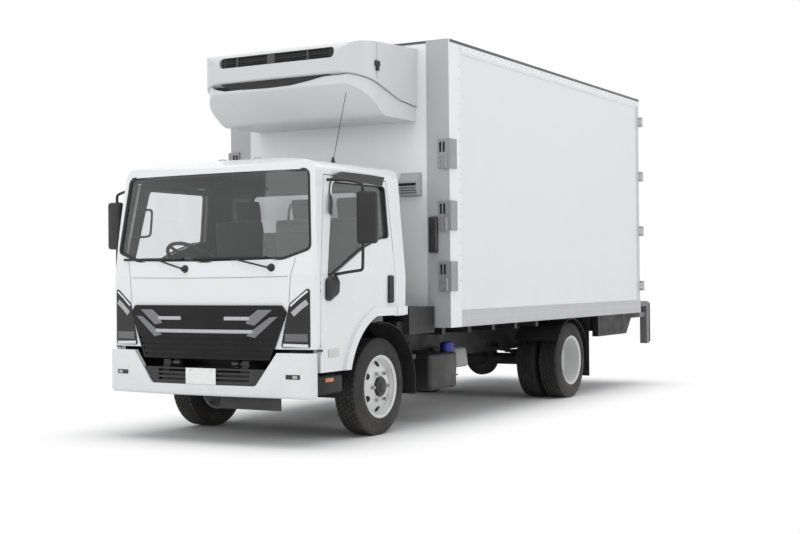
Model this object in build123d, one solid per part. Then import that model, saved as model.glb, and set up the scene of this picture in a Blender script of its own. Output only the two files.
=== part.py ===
from build123d import *
import math
import os

# Refrigerated truck, millimetres, +X forward, +Y to the truck's left, +Z up.
# Pieces are laid out from the front axle's centre line and moved to the middle of the truck on saving.

# Running gear
WHEELBASE = 3815
FRONT_TRACK = 1680
REAR_TRACK = 1650
TWIN_SPACING = 262
TYRE_RADIUS = 402
TYRE_WIDTH = 226
TREAD_WIDTH = 184
SEAT_RADIUS = 250
RIM_WIDTH = 196
RIM_WALL = 12
HUB_RADIUS = 88
HAND_HOLES = 6
HAND_HOLE_RADIUS = 29
HAND_HOLE_CIRCLE = 198
DISC_FLAT = 160
DISC_DISH = 30
CAP_OUT = 40
REAR_CAP = 90
DRUM_CLEAR = 6
SPINDLE_RADIUS = 34
RUNNING_FIT = 0.4
KINGPIN_Y = 690
KINGPIN_RADIUS = 18
STEER_ARM = 180
AXLE_TUBE_RADIUS = 62
BANJO_RADIUS = 185
DRIVE_Z = 440

# Ladder frame
FRAME_WIDTH = 850
FRAME_TOP = 735
RAIL_DEPTH = 216
RAIL_FLANGE = 70
RAIL_THICK = 8
FRAME_FRONT = 1020
FRAME_REAR = -5500
SPRING_WIDTH = 70
LEAF_THICK = 12

# Insulated box
BOX_FRONT = -818
BOX_LENGTH = 4853
BOX_WIDTH = 2376
BOX_BOTTOM = 870
BOX_HEIGHT = 2517
WALL = 75
ROOF_THICK = 85
FLOOR_THICK = 125
EDGE_SHEET = 8
CORNER_FRONT_LEG = 225
CORNER_SIDE_LEG = 205
BOTTOM_RAIL = 158
TOP_RAIL = 98
REAR_FRAME_DEPTH = 110
DOOR_THICK = 85
DOOR_GAP = 5
PIN_OUT = 20
PIN_BACK = 35
HINGE_PIN_RADIUS = 9
KNUCKLE_RADIUS = 16
LUG_HALF = 22
STRAP_HALF = 58
STRAP_REACH = 760
HINGES = (1180, 1830, 2480, 3130)
LOCK_Y = 230
HANDLE_Z = 1650
RAIL_LEG = 100
TRIM_GAP = 2
FITTINGS = (2388, 1845, 1312)
FITTING_FRONT = 108
FITTING_SIDE = 100
FITTING_THICK = 18
FITTING_HALF = 130
PAD_Y = 1030
PAD_LOW = 1520
PAD_HIGH = 1835
VENT_LOW = 2035
VENT_HEIGHT = 185
VENT_Y = (705, 895)

# Refrigeration unit
UNIT_HALF_WIDTH = 870
UNIT_DEPTH = 950
UNIT_CORNER = 270
UNIT_TOP = 3335
UNIT_DROP = 52
UNIT_LIP = 3030
UNIT_BOTTOM = 2690
SLOT_HALF = 600
SLOT_LOW = 3155
SLOT_RISE = 92
SLOT_DEPTH = 60
SLOT_CORNER = 40
SLIT_DEPTH = 240

# Cab
CAB_FRONT = 1130
CAB_REAR = -310
CAB_HALF = 1020
CAB_SILL_HALF = CAB_HALF - 20
CAB_ROOF_HALF = CAB_HALF - 75
CAB_BELT = 1310
CAB_CREASE = 1335
CAB_ROOF_EDGE = 2215
CAB_ROOF = 2290
CAB_BOW = 75
CAB_CORNER = 75
PLAN_SPARE = 2
SIDE_SPARE = 60
CAB_BASE = 300
EAVES_RADIUS = 95
SCREEN_RAKE = 122
ROOF_FRONT = 330
CAB_WALL = 45
CAB_LIP = 760
CAB_FLOOR = 760
SEAT_DECK = 1010
DECK_FRONT = 560
DOOR_WALL = 70
DOOR_FRONT = 995
DOOR_REAR = -140
DOOR_BOTTOM = 575
DOOR_TOP = 2115
DOOR_CLEAR = 6
DOOR_PIN_X = 992
DOOR_PIN_Y = CAB_HALF + 2
DOOR_PIN_RADIUS = 4
DOOR_KNUCKLE = 7
DOOR_HINGES = (760, 1240)
ARCH_RADIUS = 612
ARCH_TOP = 985
FLARE_GAP = 8
FLARE_WIDTH = 72
FLARE_PROUD = 18
GLASS = 6
GLASS_INSET = 10
DOOR_GLASS_INSET = 26
DOOR_RAKE = 145
SCREEN_HALF = CAB_HALF - 65
REAR_WINDOW_HALF = CAB_HALF - 460
LAMP_OUT = CAB_HALF - 55
SCREEN_LOW = 1445
SCREEN_TOP = 2152
GRILLE_HALF = CAB_HALF - 250
GRILLE_TOP = 1100
GRILLE_BOTTOM = 675
GRILLE_THICK = 20
BAR_HEIGHT = 34
BAR_THICK = 9
SLOT_ROWS = 4
SLOT_PITCH = 42
SLOT_HEIGHT = 18
LAMP_PROUD = 6
TILT_X = 1090
TILT_Z = 640
TILT_PIN_RADIUS = 18
TILT_ARMS = (-290, 290)
HORN_EAR = 25
MIRROR_X = 720
MIRROR_Y = CAB_HALF + 270
MIRROR_Z = 1770
MIRROR_DEPTH = 95
MIRROR_WIDTH = 200
MIRROR_HEIGHT = 420
MIRROR_FOOT = 1215
MIRROR_HEAD_TOP = 2040
WHEEL_X = 730
WHEEL_Y = -450
WHEEL_Z = 1480
WHEEL_LEAN = math.radians(37)
WHEEL_RADIUS = 205
RIM_BAR = 15
SHAFT_RADIUS = 12
DASH_REAR = 760
SEAT_REAR = -80

# Springs, brackets and what hangs on the frame
CROSS_MEMBERS = (860, -1180, -2050, -2900, -4700)
CROSS_DEPTH = 100
SPRING_SAG = 47
LEAVES = 4
EYE_BORE = 12
# Columns: axle's place, spring's sideways place, eye height and half length
SPRINGS = (
    (0, 385, 480, 600),
    (-WHEELBASE, 475, 560, 620),
)
BOSS_RADIUS = 40
BOSS_HALF = 62
EAR = 34
EAR_GAP = 5
STUD_RADIUS = 11
STUD_DROP = 38
FRONT_DISC = 78
REAR_HUB_BACK = REAR_TRACK / 2 - 185
NOSE_LENGTH = 380
ENGINE_FRONT = 430
ENGINE_REAR = -450
ENGINE_HALF = 310
ENGINE_TOP = 970
ENGINE_BOTTOM = 440
GEARBOX_REAR = -1060
TANK_BOTTOM = 410
TANK_OUT = 500
TANK_HEIGHT = 330
FUEL_TANK = (-1850, -1100)
UREA_TANK = (-1480, -1130)
BATTERY_BOX = (-2290, -1930)
SILENCER = (-3050, -2380)
SILENCER_RADIUS = 150
# Columns: side, sideways reach from the rail and the places of each pair of shelf brackets
SHELVES = (
    (-1, 500, (-1250, -1700)),
    (-1, 500, (-2010, -2210)),
    (-1, 320, (-2480, -2940)),
    (1, 500, (-1190, -1420)),
)
BEARER_LOW = 795
BEARERS = 10
BEARER_PITCH = 505
BEARER_HALF = 1040
FRONT_GUARD = 525
REAR_GUARD = 440
GUARD_SHEET = 6
FLAP_LOW = 300
FLAP_BACK = 485
LAMP_BAR_HALF = 700
LAMP_BAR_LOW = 640

# Bumper and rear step
INSERT_HALF = CAB_HALF - 270
INSERT_SLANT = 235
INSERT_BOTTOM = 475
INSERT_TOP = 605
INSERT_SET_IN = 14
INSERT_THICK = 13
INSERT_ROWS = 3
INSERT_PITCH = 34
FOG_Y = CAB_HALF - 170
FOG_Z = 575
FOG_RADIUS = 48
BUMPER_FRONT = 1180
BUMPER_BOTTOM = 385
BUMPER_TOP = 735
BUMPER_WALL = 40
BEAM_LOW = 500
BEAM_HALF = 780
BUMPER_END = 1052
STEP_REAR = -6105
STEP_HALF = 1150
STEP_TOP = 985
STEP_LOW = 480
STEP_BEAM_FRONT = -4450
STEP_BEAM_DEPTH = 235
BUFFER = 40

# Levels worked out from the sizes above
HUB_Z = TYRE_RADIUS
HALF_BOX = BOX_WIDTH / 2
SKIN = HALF_BOX - EDGE_SHEET
INSIDE_HALF = SKIN - WALL
BOX_REAR = BOX_FRONT - BOX_LENGTH
BOX_TOP = BOX_BOTTOM + BOX_HEIGHT
LOAD_FLOOR = BOX_BOTTOM + FLOOR_THICK
LOAD_TOP = BOX_TOP - ROOF_THICK
LOAD_FRONT = BOX_FRONT - WALL
LOAD_REAR = BOX_REAR + REAR_FRAME_DEPTH
RAIL_BOTTOM = FRAME_TOP - RAIL_DEPTH
RAIL_OUT = FRAME_WIDTH / 2
DECK_TOP = SEAT_DECK + CAB_WALL
MIDDLE_X = (BUMPER_FRONT + STEP_REAR) / 2
FAR = 4000
AXIS = {"x": (1, 0, 0), "y": (0, 1, 0), "z": (0, 0, 1)}


def on_plane(axis, level, u, v):
    """A point of the plane axis = level, from its two other coordinates in order."""
    return {"x": (level, u, v), "y": (u, level, v), "z": (u, v, level)}[axis]


def outline(axis, level, points, radii=0):
    """A flat face on the plane axis = level, through (u, v) points, its corners rounded."""
    places = [on_plane(axis, level, u, v) for u, v in points]
    if radii:
        return make_face(FilletPolyline(*places, radius=radii, close=True))
    return make_face(Polyline(*places, close=True))


def prism(axis, points, low, high, radii=0):
    """The outline of points pushed along an axis from low to high."""
    return extrude(outline(axis, low, points, radii), amount=high - low, dir=AXIS[axis])


def block(x, y, z):
    """A box between pairs of low and high values."""
    size = [pair[1] - pair[0] for pair in (x, y, z)]
    middle = [(pair[1] + pair[0]) / 2 for pair in (x, y, z)]
    return Pos(*middle) * Box(*size)


def rod(axis, place, radius, low, high):
    """A round bar along an axis from low to high, through the other two coordinates of place."""
    turn = {"x": Rot(0, 90, 0), "y": Rot(-90, 0, 0), "z": Rot(0, 0, 0)}[axis]
    middle = list(place)
    middle["xyz".index(axis)] = (low + high) / 2
    return Pos(*middle) * (turn * Cylinder(radius, high - low))


def bent_tube(points, radius, bend):
    """A tube along straight runs with rounded bends."""
    path = FilletPolyline(*points, radius=bend)
    start = Plane(origin=path @ 0, z_dir=path % 0)
    return sweep(start * Circle(radius), path=path)


def turned(points, centre):
    """A ring from (radius, across) points, turned about the line along Y through centre."""
    ring = revolve(make_face(Polyline(*[(r, a, 0) for r, a in points], close=True)), axis=Axis.Y)
    return Pos(*centre) * ring


def other_side(shape):
    """The same piece on the truck's other side."""
    return mirror(shape, about=Plane.XZ)


def pair(shape):
    """A piece and its twin on the other side."""
    return shape + other_side(shape)


def save(name, shape):
    """Writes one piece, moved so that the middle of the truck is at the origin."""
    export_step(Pos(-MIDDLE_X, 0, 0) * shape, f"parts/{name}.step")


os.makedirs("parts", exist_ok=True)

# Cab body: side, plan and front outlines pushed through each other


def cab_side():
    points = [
        (CAB_FRONT + SIDE_SPARE, CAB_BASE - SIDE_SPARE),
        (CAB_FRONT + SIDE_SPARE, CAB_BELT),
        (CAB_FRONT + 30 - SCREEN_RAKE, CAB_ROOF_EDGE - 20),
        (CAB_FRONT - ROOF_FRONT, CAB_ROOF - 12),
        (CAB_REAR, CAB_ROOF - 30),
        (CAB_REAR, CAB_BASE - SIDE_SPARE),
    ]
    return outline("y", -FAR / 2, points, [1, 400, 130, 500, 70, 1])


def bowed_plan(front, half, rear, corner, bow):
    bow_line = ThreePointArc((front - bow, -half, 0), (front, 0, 0), (front - bow, half, 0))
    sides = Polyline((front - bow, half, 0), (rear, half, 0), (rear, -half, 0), (front - bow, -half, 0))
    face = make_face([*bow_line.edges(), *sides.edges()])
    return fillet(face.vertices().filter_by(lambda v: v.X > rear + 1), corner)


def cab_front():
    half = [(CAB_SILL_HALF, CAB_BASE), (CAB_HALF, CAB_BELT), (CAB_ROOF_HALF, CAB_ROOF_EDGE)]
    left = [(FAR / 2, y, z) for y, z in half]
    right = [(FAR / 2, -y, z) for y, z in half]
    crown = ThreePointArc(left[2], (FAR / 2, 0, CAB_ROOF), right[2])
    sides = Polyline(left[2], left[1], left[0], right[0], right[1], right[2])
    face = make_face([*crown.edges(), *sides.edges()])
    return fillet(face.vertices().filter_by(lambda v: v.Z > CAB_BELT + 1), EAVES_RADIUS)


def cab_body(inset):
    """The cab's closed form, its roof, front, back and sides moved in by inset."""
    plan = bowed_plan(CAB_FRONT, CAB_HALF + PLAN_SPARE, CAB_REAR - FAR / 8, CAB_CORNER, CAB_BOW)
    side, plan, front = [offset(face, -inset) if inset else face for face in (cab_side(), plan, cab_front())]
    rise = CAB_ROOF_EDGE - CAB_CREASE
    lower = extrude(plan, amount=CAB_CREASE, dir=(0, 0, 1))
    upper = extrude(Pos(0, 0, CAB_CREASE) * plan, amount=FAR / 2, dir=(-SCREEN_RAKE, 0, rise))
    solid = extrude(side, amount=FAR, dir=(0, 1, 0)) & (lower + upper)
    return solid & extrude(front, amount=FAR, dir=(-1, 0, 0))


def arch_height(x):
    """Height of the wheel arch's edge at x."""
    return HUB_Z + math.sqrt(ARCH_RADIUS**2 - x**2)


def door_outline(clear):
    """The left door's side outline, moved in by clear, as a prism across the cab's left side."""
    arch = math.sqrt(ARCH_RADIUS**2 - (DOOR_BOTTOM - HUB_Z) ** 2)
    flat_arch = math.sqrt(ARCH_RADIUS**2 - (ARCH_TOP - HUB_Z) ** 2)
    middle = (arch + flat_arch) / 2
    edge = ThreePointArc(
        (flat_arch, 0, ARCH_TOP), (middle, 0, arch_height(middle)), (arch, 0, DOOR_BOTTOM)
    )
    rest = Polyline(
        (arch, 0, DOOR_BOTTOM),
        (DOOR_FRONT, 0, DOOR_BOTTOM),
        (DOOR_FRONT, 0, CAB_BELT + 20),
        (DOOR_FRONT - DOOR_RAKE, 0, DOOR_TOP),
        (DOOR_REAR + 35, 0, DOOR_TOP),
        (DOOR_REAR, 0, CAB_BELT + 200),
        (DOOR_REAR, 0, ARCH_TOP),
        (flat_arch, 0, ARCH_TOP),
    )
    face = make_face([*edge.edges(), *rest.edges()])
    if clear:
        face = offset(face, -clear)
    return Pos(0, CAB_HALF / 2, 0) * extrude(face, amount=CAB_HALF, dir=(0, 1, 0))


def arch_zone(reach):
    """The wheel arch's room on the cab's left side, grown by reach."""
    top = ARCH_TOP + reach
    round_part = rod("y", (0, 0, HUB_Z), ARCH_RADIUS + reach, 0, FAR) & block((-FAR, FAR), (0, FAR), (0, top))
    return round_part + block((-FAR, 0), (0, FAR), (0, top))


def flare(front, rear):
    """The raised lip along the wheel arch between two places along the cab."""
    band = arch_zone(FLARE_GAP + FLARE_WIDTH) - arch_zone(FLARE_GAP)
    across = (CAB_SILL_HALF - CAB_WALL + 5, CAB_HALF + FLARE_PROUD)
    return band & block((rear, front), across, (DOOR_BOTTOM + FLARE_GAP, FAR))


OUTER = cab_body(0)
INNER = cab_body(CAB_WALL)


def proud(cutter, low, high):
    """What cutter takes from a layer that stands low to high in front of the cab's front."""
    return ((Pos(high, 0, 0) * OUTER) & cutter) - Pos(low, 0, 0) * OUTER


WINDSCREEN = [
    (-SCREEN_HALF, SCREEN_LOW + 88),
    (-SCREEN_HALF * 0.76, SCREEN_LOW + 12),
    (0, SCREEN_LOW),
    (SCREEN_HALF * 0.76, SCREEN_LOW + 12),
    (SCREEN_HALF, SCREEN_LOW + 88),
    (SCREEN_HALF - 60, SCREEN_TOP),
    (60 - SCREEN_HALF, SCREEN_TOP),
]
screen_cut = prism("x", WINDSCREEN, CAB_FRONT - 420, CAB_FRONT + 50, [45, 200, 900, 200, 45, 60, 60])
REAR_WINDOW = [
    (-REAR_WINDOW_HALF, 1700),
    (REAR_WINDOW_HALF, 1700),
    (REAR_WINDOW_HALF, 2060),
    (-REAR_WINDOW_HALF, 2060),
]
rear_cut = prism("x", REAR_WINDOW, CAB_REAR - 50, CAB_REAR + 150, 60)
SIDE_WINDOW = [
    (DOOR_FRONT - 90, CAB_BELT - 20),
    (330, CAB_BELT + 238),
    (60, CAB_BELT + 315),
    (DOOR_REAR + 65, CAB_BELT + 325),
    (DOOR_REAR + 65, DOOR_TOP - 50),
    (DOOR_FRONT - DOOR_RAKE - 130, DOOR_TOP - 50),
]
window_cut = prism("y", SIDE_WINDOW, CAB_HALF / 2, CAB_HALF + 50, [25, 300, 300, 40, 40, 60])
LAMP = [
    (LAMP_OUT, 1245),
    (LAMP_OUT - 175, 1110),
    (LAMP_OUT - 227, 890),
    (LAMP_OUT - 249, 775),
    (LAMP_OUT, 775),
]
lamp_cut = prism("x", LAMP, DOOR_FRONT + 2 * DOOR_CLEAR, CAB_FRONT + 50, 18)

# Cab shell: walls, roof, stepped floor and the two arms of the tilt hinge
shell = OUTER - INNER
shell -= block((-FAR, FAR), (-FAR, FAR), (0, CAB_LIP))
shell -= block((-FAR, DECK_FRONT + CAB_WALL), (-FAR, FAR), (0, ARCH_TOP))
FLOOR = [
    (CAB_FRONT - CAB_BOW, CAB_FLOOR),
    (DECK_FRONT, CAB_FLOOR),
    (DECK_FRONT, SEAT_DECK),
    (CAB_REAR + CAB_WALL / 2, SEAT_DECK),
    (CAB_REAR + CAB_WALL / 2, SEAT_DECK + CAB_WALL),
    (DECK_FRONT + CAB_WALL, SEAT_DECK + CAB_WALL),
    (DECK_FRONT + CAB_WALL, CAB_FLOOR + CAB_WALL),
    (CAB_FRONT - CAB_BOW, CAB_FLOOR + CAB_WALL),
]
FLOOR_HALF = CAB_SILL_HALF - DOOR_WALL - 2 * DOOR_CLEAR
shell += prism("y", FLOOR, -FLOOR_HALF, FLOOR_HALF) & OUTER
door_hole = door_outline(0)
shell -= door_hole + other_side(door_hole)
shell -= screen_cut + rear_cut
shell -= lamp_cut + other_side(lamp_cut)
TILT_EYE = TILT_PIN_RADIUS + 12
for y in TILT_ARMS:
    arm = [
        (TILT_X - TILT_EYE, TILT_Z),
        (TILT_X + TILT_EYE, TILT_Z),
        (TILT_X - 10, CAB_FLOOR),
        (TILT_X - 100, CAB_FLOOR),
    ]
    tilt_arm = prism("y", arm, y - 30, y + 30) + rod("y", (TILT_X, 0, TILT_Z), TILT_EYE, y - 30, y + 30)
    shell += tilt_arm - rod("y", (TILT_X, 0, TILT_Z), TILT_PIN_RADIUS + RUNNING_FIT, y - 40, y + 40)
door_pin = (DOOR_PIN_X, DOOR_PIN_Y, 0)
for z in DOOR_HINGES:
    for low in (z - 45, z + 14):
        shell -= pair(rod("z", door_pin, DOOR_KNUCKLE + 5, low, low + 31))
    lug = block((DOOR_PIN_X, DOOR_PIN_X + 20), (DOOR_PIN_Y - 35, DOOR_PIN_Y), (z - 14, z + 14))
    lug += rod("z", door_pin, DOOR_KNUCKLE, z - 14, z + 14)
    lug += rod("z", door_pin, DOOR_PIN_RADIUS, z - 40, z + 40)
    shell += pair(lug)
shell += pair(flare(DOOR_REAR - DOOR_CLEAR, CAB_REAR))
save("cab_shell", shell)

# Fixed glass of the cab
glass_layer = cab_body(GLASS_INSET) - cab_body(GLASS_INSET + GLASS)
save("cab_glass", (glass_layer & screen_cut) + (glass_layer & rear_cut))

# Cab doors, their glass and their mirrors
door = ((OUTER - cab_body(DOOR_WALL)) & door_outline(DOOR_CLEAR)) - window_cut
for z in DOOR_HINGES:
    door -= rod("z", door_pin, DOOR_KNUCKLE + 5, z - 19, z + 19)
    for low in (z - 40, z + 19):
        leaf = block((DOOR_PIN_X - 20, DOOR_PIN_X), (DOOR_PIN_Y - 35, DOOR_PIN_Y), (low, low + 21))
        door += leaf + rod("z", door_pin, DOOR_KNUCKLE, low, low + 21)
        door -= rod("z", door_pin, DOOR_PIN_RADIUS + RUNNING_FIT, low - 1, low + 22)
door += flare(DOOR_FRONT, DOOR_REAR + DOOR_CLEAR)
door_layer = cab_body(DOOR_GLASS_INSET) - cab_body(DOOR_GLASS_INSET + GLASS)
door_glass = door_layer & window_cut
save("cab_door_left", door)
save("cab_door_right", other_side(door))
save("door_glass_left", door_glass)
save("door_glass_right", other_side(door_glass))

mirror_post = (MIRROR_X + 20, MIRROR_Y - 25)
mirror_route = [
    (DOOR_FRONT - 110, CAB_HALF - 40, MIRROR_FOOT),
    (*mirror_post, MIRROR_FOOT + 90),
    (*mirror_post, MIRROR_HEAD_TOP),
    (DOOR_FRONT - DOOR_RAKE - 20, CAB_ROOF_HALF - 10, MIRROR_HEAD_TOP - 5),
]
mirror_arm = bent_tube(mirror_route, 14, 60)
head = Pos(MIRROR_X, MIRROR_Y + 20, MIRROR_Z) * Box(MIRROR_DEPTH, MIRROR_WIDTH, MIRROR_HEIGHT)
head = fillet(head.edges().filter_by(Axis.Z), 34)
foot = [
    (DOOR_FRONT - 70, 1140),
    (DOOR_FRONT - 150, 1150),
    (DOOR_FRONT - 140, 1275),
    (DOOR_FRONT - 85, 1285),
]
mirror_piece = mirror_arm + head + prism("y", foot, CAB_HALF - 60, CAB_HALF + 12, 10)
mirror_piece -= OUTER
save("mirror_left", mirror_piece)
save("mirror_right", other_side(mirror_piece))

# Grille: a dark panel over the cab's front, with two gray chevron bars
GRILLE = [
    (-GRILLE_HALF + 43, GRILLE_TOP),
    (GRILLE_HALF - 43, GRILLE_TOP),
    (GRILLE_HALF, GRILLE_TOP - 55),
    (GRILLE_HALF - 145, GRILLE_BOTTOM),
    (145 - GRILLE_HALF, GRILLE_BOTTOM),
    (-GRILLE_HALF, GRILLE_TOP - 55),
]
grille_cut = prism("x", GRILLE, CAB_FRONT - 300, CAB_FRONT + 100, 14)
panel = proud(grille_cut, 0, GRILLE_THICK)
for row in range(SLOT_ROWS):
    z = GRILLE_BOTTOM + 25 + row * SLOT_PITCH
    reach = GRILLE_HALF - 160 + 90 * row / SLOT_ROWS
    slot = block((CAB_FRONT - 300, CAB_FRONT + 100), (-reach, reach), (z, z + SLOT_HEIGHT))
    panel -= proud(slot, GRILLE_THICK / 2, GRILLE_THICK + 1)
save("grille_panel", panel)
bars = None
# Columns: height of the bar's middle, half width at its bends, height and half width of its tips
for low, bend, high, tip in ((960, 470, 1068, 625), (868, 500, 1012, 690)):
    bar = [
        (-tip, high),
        (-bend, low),
        (bend, low),
        (tip, high),
        (tip + 45, high),
        (bend + 25, low - BAR_HEIGHT),
        (-bend - 25, low - BAR_HEIGHT),
        (-tip - 45, high),
    ]
    bar_cut = prism("x", bar, CAB_FRONT - 300, CAB_FRONT + 100)
    bar_piece = proud(bar_cut, GRILLE_THICK, GRILLE_THICK + BAR_THICK)
    bars = bar_piece if bars is None else bars + bar_piece
save("grille_bars", bars)

# Headlamps in the cab's front corners
lamp = ((Pos(LAMP_PROUD, 0, 0) * OUTER) & lamp_cut) - INNER
save("headlamps", pair(lamp))

# Wipers lying along the bottom of the windscreen
wipers = None
# Columns: sideways place of the pivot and of the blade's ends
for pivot, near, far in ((250, 130, 700), (-420, -540, 60)):
    blade = [
        (near, SCREEN_LOW + 35),
        (far, SCREEN_LOW + 48),
        (far, SCREEN_LOW + 64),
        (near, SCREEN_LOW + 51),
    ]
    arm = [
        (pivot - 10, SCREEN_LOW - 40),
        (pivot + 12, SCREEN_LOW - 40),
        ((near + far) / 2 + 20, SCREEN_LOW + 50),
        ((near + far) / 2, SCREEN_LOW + 55),
    ]
    boss = rod("x", (0, pivot, SCREEN_LOW - 32), 16, CAB_FRONT - 100, CAB_FRONT + 40)
    bands = [prism("x", band, CAB_FRONT - 300, CAB_FRONT + 100) for band in (blade, arm)]
    wiper = proud(bands[0] + bands[1], 3, 14) + proud(boss, 0, 14)
    wipers = wiper if wipers is None else wipers + wiper
save("wipers", wipers)

# Dashboard with the steering column, and three seats
COLUMN = Plane(origin=(WHEEL_X, WHEEL_Y, WHEEL_Z), z_dir=(-math.sin(WHEEL_LEAN), 0, math.cos(WHEEL_LEAN)))
DASH = [
    (CAB_FRONT - CAB_WALL - 5, CAB_BELT + 95),
    (DASH_REAR + 60, CAB_BELT + 70),
    (DASH_REAR, CAB_BELT - 10),
    (DASH_REAR + 40, CAB_BELT - 190),
    (DASH_REAR + 190, CAB_BELT - 300),
    (CAB_FRONT - CAB_WALL - 5, CAB_BELT - 300),
]
DASH_HALF = CAB_SILL_HALF - DOOR_WALL - 2 * DOOR_CLEAR
dash = prism("y", DASH, -DASH_HALF, DASH_HALF, 35) & cab_body(CAB_WALL)
dash += COLUMN * Pos(0, 0, -230) * Cylinder(42, 380)
dash -= COLUMN * Pos(0, 0, 100) * Cylinder(300, 290)
dash -= COLUMN * Pos(0, 0, -85) * Cylinder(SHAFT_RADIUS + RUNNING_FIT, 100)
save("dashboard", dash)

seats = None
# Columns: sideways place and width of each seat
for place, width in ((-480, 520), (130, 430), (590, 430)):
    across = (place - width / 2, place + width / 2)
    cushion = block((SEAT_REAR, SEAT_REAR + 500), across, (DECK_TOP, DECK_TOP + 170))
    rest = [
        (SEAT_REAR + 10, DECK_TOP + 150),
        (SEAT_REAR + 140, DECK_TOP + 150),
        (SEAT_REAR + 20, DECK_TOP + 760),
        (SEAT_REAR - 70, DECK_TOP + 760),
    ]
    back = prism("y", rest, across[0] + 10, across[1] - 10, 30)
    pad = [
        (SEAT_REAR - 67, DECK_TOP + 750),
        (SEAT_REAR + 8, DECK_TOP + 750),
        (SEAT_REAR - 15, DECK_TOP + 940),
        (SEAT_REAR - 85, DECK_TOP + 940),
    ]
    headrest = prism("y", pad, place - 130, place + 130, 20)
    seat = fillet(cushion.edges().filter_by(Axis.Y), 40) + back + headrest
    seats = seat if seats is None else seats + seat
save("seats", seats)

# Steering wheel on its leaning column
bar = []
for step in range(8):
    turn = math.radians(45 * step + 22.5)
    bar.append((WHEEL_RADIUS + RIM_BAR * math.cos(turn), 0, RIM_BAR * math.sin(turn)))
rim = revolve(make_face(Polyline(*bar, close=True)), axis=Axis.Z)
wheel = COLUMN * rim + COLUMN * Pos(0, 0, -20) * Cylinder(52, 45)
wheel += COLUMN * Pos(0, 0, -80) * Cylinder(SHAFT_RADIUS, 90)
for turn in (90, 210, 330):
    spoke = Rot(0, 0, turn) * Pos(WHEEL_RADIUS / 2, 0, -8) * Box(WHEEL_RADIUS - 8, 34, 14)
    wheel += COLUMN * spoke
save("steering_wheel", wheel)

# Bumper: a bowed white shell round a dark middle insert


def bumper_form(inset):
    """The bumper's plan, moved in by inset, from its bottom to its top."""
    plan = bowed_plan(BUMPER_FRONT, CAB_HALF, BUMPER_END - FAR / 8, CAB_CORNER, CAB_BOW)
    plan = offset(plan, -inset) if inset else plan
    return Pos(0, 0, BUMPER_BOTTOM) * extrude(plan, amount=BUMPER_TOP - BUMPER_BOTTOM, dir=(0, 0, 1))


INSERT = [
    (-INSERT_HALF, BUMPER_TOP + 60),
    (-INSERT_HALF + INSERT_SLANT, INSERT_BOTTOM),
    (INSERT_HALF - INSERT_SLANT, INSERT_BOTTOM),
    (INSERT_HALF, BUMPER_TOP + 60),
]
insert_cut = prism("x", INSERT, CAB_FRONT - 100, BUMPER_FRONT + 50, 45)
bumper_inner = bumper_form(BUMPER_WALL)
behind_end = block((-FAR, BUMPER_END), (-FAR, FAR), (0, FAR))
bumper = bumper_form(0) - bumper_inner - behind_end - insert_cut
for side in (-1, 1):
    recess = Pos(BUMPER_FRONT - 60, side * FOG_Y, FOG_Z) * Rot(0, 90, 0) * Cylinder(FOG_RADIUS, 200)
    bumper -= recess
save("front_bumper", bumper)
insert = (bumper_form(INSERT_SET_IN) - bumper_form(INSERT_SET_IN + INSERT_THICK)) & insert_cut
insert &= block((0, FAR), (-FAR, FAR), (0, INSERT_TOP))
for row in range(INSERT_ROWS):
    z = INSERT_BOTTOM + 30 + row * INSERT_PITCH
    insert -= block((0, FAR), (-INSERT_HALF + 300, INSERT_HALF - 300), (z, z + 18))
save("bumper_insert", insert)

# Ladder frame: channel rails, cross members, brackets and the tilt hinge's pins
RAIL = [
    (RAIL_OUT, RAIL_BOTTOM),
    (RAIL_OUT, FRAME_TOP),
    (RAIL_OUT - RAIL_FLANGE, FRAME_TOP),
    (RAIL_OUT - RAIL_FLANGE, FRAME_TOP - RAIL_THICK),
    (RAIL_OUT - RAIL_THICK, FRAME_TOP - RAIL_THICK),
    (RAIL_OUT - RAIL_THICK, RAIL_BOTTOM + RAIL_THICK),
    (RAIL_OUT - RAIL_FLANGE, RAIL_BOTTOM + RAIL_THICK),
    (RAIL_OUT - RAIL_FLANGE, RAIL_BOTTOM),
]
frame = pair(prism("x", RAIL, FRAME_REAR, FRAME_FRONT))
across = (RAIL_THICK - RAIL_OUT, RAIL_OUT - RAIL_THICK)
upright = (FRAME_TOP - RAIL_THICK - CROSS_DEPTH, FRAME_TOP - RAIL_THICK)
members = [block((x - 40, x + 40), across, upright) for x in CROSS_MEMBERS]
horn_y = (RAIL_OUT - RAIL_FLANGE, RAIL_OUT)
horn = block((FRAME_FRONT - 60, BUMPER_FRONT), horn_y, (BEAM_LOW, TILT_Z - HORN_EAR))
horn += block((FRAME_FRONT - 60, TILT_X + HORN_EAR), horn_y, (BEAM_LOW, TILT_Z + HORN_EAR))
bumper_beam = block((FRAME_FRONT, FAR), (-BEAM_HALF, BEAM_HALF), (BEAM_LOW, BEAM_LOW + 60)) & bumper_inner
bumper_beam -= bumper_form(BUMPER_WALL + 40)
horn_pin = rod("y", (TILT_X, 0, TILT_Z), TILT_PIN_RADIUS, TILT_ARMS[1] - 40, RAIL_OUT - RAIL_FLANGE)
bumper_beam -= pair(block((0, FAR), horn_y, (0, FAR)))
frame += pair((horn & bumper_inner) + horn_pin)
members += bumper_beam.solids()
lamp_bar_y = (-LAMP_BAR_HALF, LAMP_BAR_HALF)
members.append(block((FRAME_REAR - 60, FRAME_REAR), lamp_bar_y, (LAMP_BAR_LOW, LAMP_BAR_LOW + 120)))
SHELF_TOP = TANK_BOTTOM
for side, reach, places in SHELVES:
    for x in places:
        shelf = block((x - 25, x + 25), (RAIL_OUT, RAIL_OUT + reach), (SHELF_TOP - 12, SHELF_TOP))
        shelf += block((x - 25, x + 25), (RAIL_OUT, RAIL_OUT + 12), (SHELF_TOP - 12, FRAME_TOP - 40))
        frame += shelf if side > 0 else other_side(shelf)
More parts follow.
